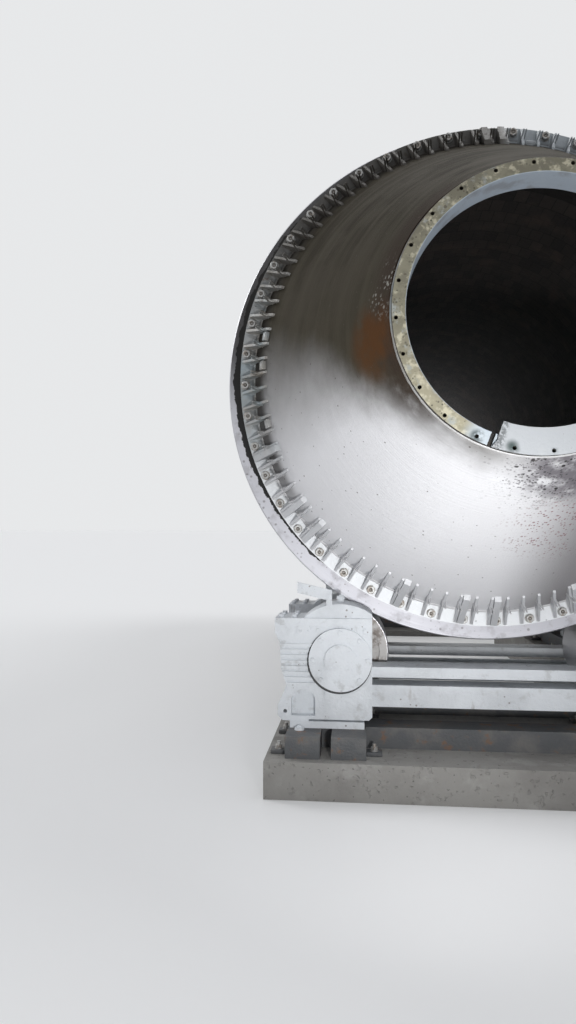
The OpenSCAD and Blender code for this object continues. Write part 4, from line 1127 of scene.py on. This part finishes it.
bearing_starts = (-0.380, 0.200)
bearing_depth = 0.180
ring_cover = rod(0.148, 0.018, 0.0, 40)
cover_bore = rod(0.095, 0.060, -0.020, 40)
cut(ring_cover, cover_bore)
chamfer(ring_cover, 0.003, 2)
cover_faces = ([(start, "front") for start in bearing_starts]
    + [(start + bearing_depth, "back") for start in bearing_starts])
ring_covers = set_out(ring_cover, [on_drive(0.0, along, 0.0, facing)
    for along, facing in cover_faces])
fit_out(ring_covers, "pinion_bearing_covers", "frame", white_paint)
cover_step = {"front": -0.018, "back": 0.018}
small_bolts = [on_drive(x, along + cover_step[facing], z, facing)
    for along, facing in cover_faces for x, z in circle(6, 0.122, 30.0)]
cap_nuts = [on_drive(x, start + along, 0.025) for start in bearing_starts
    for x in (-0.228, 0.228) for along in (0.045, 0.135)]
foot_bolts = [on_drive(x, start + along, -0.370) for start in bearing_starts
    for x in (-0.276, 0.276) for along in (0.030, 0.150)]
bearing_bolts = join(bolts(small_bolts, 0.019, 0.009, 0.002),
    set_out(join(bolt_head(0.041, 0.026, 0.005), rod(0.013, 0.020, 0.028, 12, 0.012)), cap_nuts),
    bolts(foot_bolts, 0.030, 0.015, 0.004))
fit_out(bearing_bolts, "pinion_bearing_bolts", "frame", white_paint)

# Gear reducer: a split cast box in machine paint. Bolts run round its split, bearing caps close its
# shafts, and a plate with a breather covers its inspection hole.
drive_paint = bare("drive_paint", (0.12, 0.17, 0.20), 0.42, 0.05)
stain(blotches(3.0, 0.45, 0.66, 7.0), (0.18, 0.22, 0.235), 0.7, 0.6)
stain(blotches(8.0, 0.56, 0.68, 8.0), (0.07, 0.065, 0.06), 0.7, 0.4)
stain(blotches(60.0, 0.66, 0.71, 3.0), (0.30, 0.29, 0.27), 0.7)
grain(60.0, 0.0012)
dress(drive_paint, "gear_reducer", "drive_motor")
reducer_start, reducer_end = 0.740, 1.260
split_bolts = [on_drive(x, along, 0.025) for along in (reducer_start - 0.012, reducer_end + 0.012)
    for x in [-0.30 + 0.13 * i for i in range(10)]]
reducer_feet = [on_drive(x, reducer_start + along, -0.375) for x in (-0.332, 0.912)
    for along in (0.06, 0.26, 0.46)]
cap_places = ((0.30, 0.115, "front", reducer_start), (0.62, 0.090, "front", reducer_start),
    (0.0, 0.150, "back", reducer_end), (0.30, 0.115, "back", reducer_end))
caps, cap_screws = [], []
for x, radius, facing, along in cap_places:
    cap = join(rod(radius, 0.020, 0.0, 36), rod(radius * 0.62, 0.014, 0.020, 30))
    chamfer(cap, 0.003)
    caps.append(set_out(cap, [on_drive(x, along, 0.0, facing)]))
    out = 0.020 if facing == "back" else -0.020
    cap_screws += [on_drive(x + dx, along + out, dz, facing)
        for dx, dz in circle(6, radius * 0.81, 30.0)]
hatch_x, hatch_y = 0.08, 1.000
hatch = block((0.34, 0.30, 0.016), 0.005, (hatch_x, hatch_y, 0.328))
hatch.data.transform(pinion_frame)
hatch_bolts = [on_drive(hatch_x + x, hatch_y + y, 0.336) for x in (-0.145, 0.0, 0.145)
    for y in (-0.125, 0.125)]
hatch_cap = set_out(join(rod(0.022, 0.030, 0.0, 18), rod(0.034, 0.024, 0.030, 20, 0.028)),
    [on_drive(hatch_x, hatch_y, 0.335)])
fit_out(join(hatch, hatch_cap, *caps), "reducer_caps", "frame", drive_paint)
reducer_bolts = join(bolts(split_bolts, 0.022, 0.012), bolts(reducer_feet, 0.036, 0.018, 0.005),
    bolts(cap_screws + hatch_bolts, 0.017, 0.008, 0.002))
fit_out(reducer_bolts, "reducer_bolts", "frame", nut_metal)

# Motor: a finned frame with end shields, a fan cowl with a grille, a terminal box and a lifting
# eye. It stands on two feet that are bolted to the bed.
motor_x, motor_start, motor_end, cowl_end = 0.620, 1.620, 2.440, 2.570
motor_middle = (motor_start + motor_end) / 2.0
motor_feet = (motor_start + 0.20, motor_end - 0.20)
feet = [block((0.600, 0.110, 0.030), 0.005, (motor_x, along, -0.405)) for along in motor_feet]
grille, grille_place = [], (motor_x, cowl_end + 0.001, 0.0)
for radius in (0.045, 0.085, 0.125, 0.165):
    bpy.ops.mesh.primitive_torus_add(major_radius=radius, minor_radius=0.004, major_segments=40,
        minor_segments=6, location=grille_place, rotation=(math.radians(90.0), 0.0, 0.0))
    grille.append(bpy.context.object)
for i in range(4):
    bpy.ops.mesh.primitive_cylinder_add(vertices=6, radius=0.004, depth=0.34,
        location=grille_place, rotation=(0.0, math.radians(45.0 * i), 0.0))
    grille.append(bpy.context.object)
bpy.ops.mesh.primitive_torus_add(major_radius=0.030, minor_radius=0.009, major_segments=28,
    minor_segments=10, location=(motor_x, motor_middle, 0.278),
    rotation=(0.0, math.radians(90.0), 0.0))
eye = bpy.context.object
bpy.ops.mesh.primitive_cylinder_add(vertices=20, radius=0.022, depth=0.030,
    location=(motor_x, motor_middle, 0.240))
eye_collar = bpy.context.object
terminal_y = 1.980
box_lid = block((0.012, 0.220, 0.180), 0.004, (0.985, terminal_y, 0.0))
trim = join(*feet, *grille, eye, eye_collar, box_lid)
trim.data.transform(pinion_frame)
fit_out(trim, "motor_trim", "frame", drive_paint)
lid_screws = [pinion_frame @ moved(0.991, terminal_y + y, z) @ spun(90.0, "Y")
    for y in (-0.092, 0.092) for z in (-0.072, 0.072)]
motor_bolts = [on_drive(motor_x + x, along, -0.390) for x in (-0.265, 0.265)
    for along in motor_feet]
shield_bolts = [on_drive(motor_x + x, motor_start, z, "front") for x, z in circle(6, 0.195, 30.0)]
motor_fixings = join(bolts(motor_bolts, 0.036, 0.018, 0.005), bolts(lid_screws, 0.013, 0.007),
    bolts(shield_bolts, 0.019, 0.010))
fit_out(motor_fixings, "motor_bolts", "frame", nut_metal)

# Small fixings: the guard strip's screws and the clips that hold the coupling guard to the bed.
# They are painted over with the pieces that they hold.
strip_screws = [standing(frame_at("feed_left_roller_spin"), x, -0.688, z, "front")
    for x, z in ((-0.092, 0.455), (-0.270, 0.500))]
guard_clips = [on_drive(motor_x + x, along, -0.420) for x in (-0.145, 0.145)
    for along in (1.36, 1.56)]
small_fixings = join(bolts(strip_screws, 0.019, 0.008, 0.002),
    bolts(guard_clips, 0.024, 0.012, 0.003))
fit_out(small_fixings, "small_fixings", "frame", white_paint)
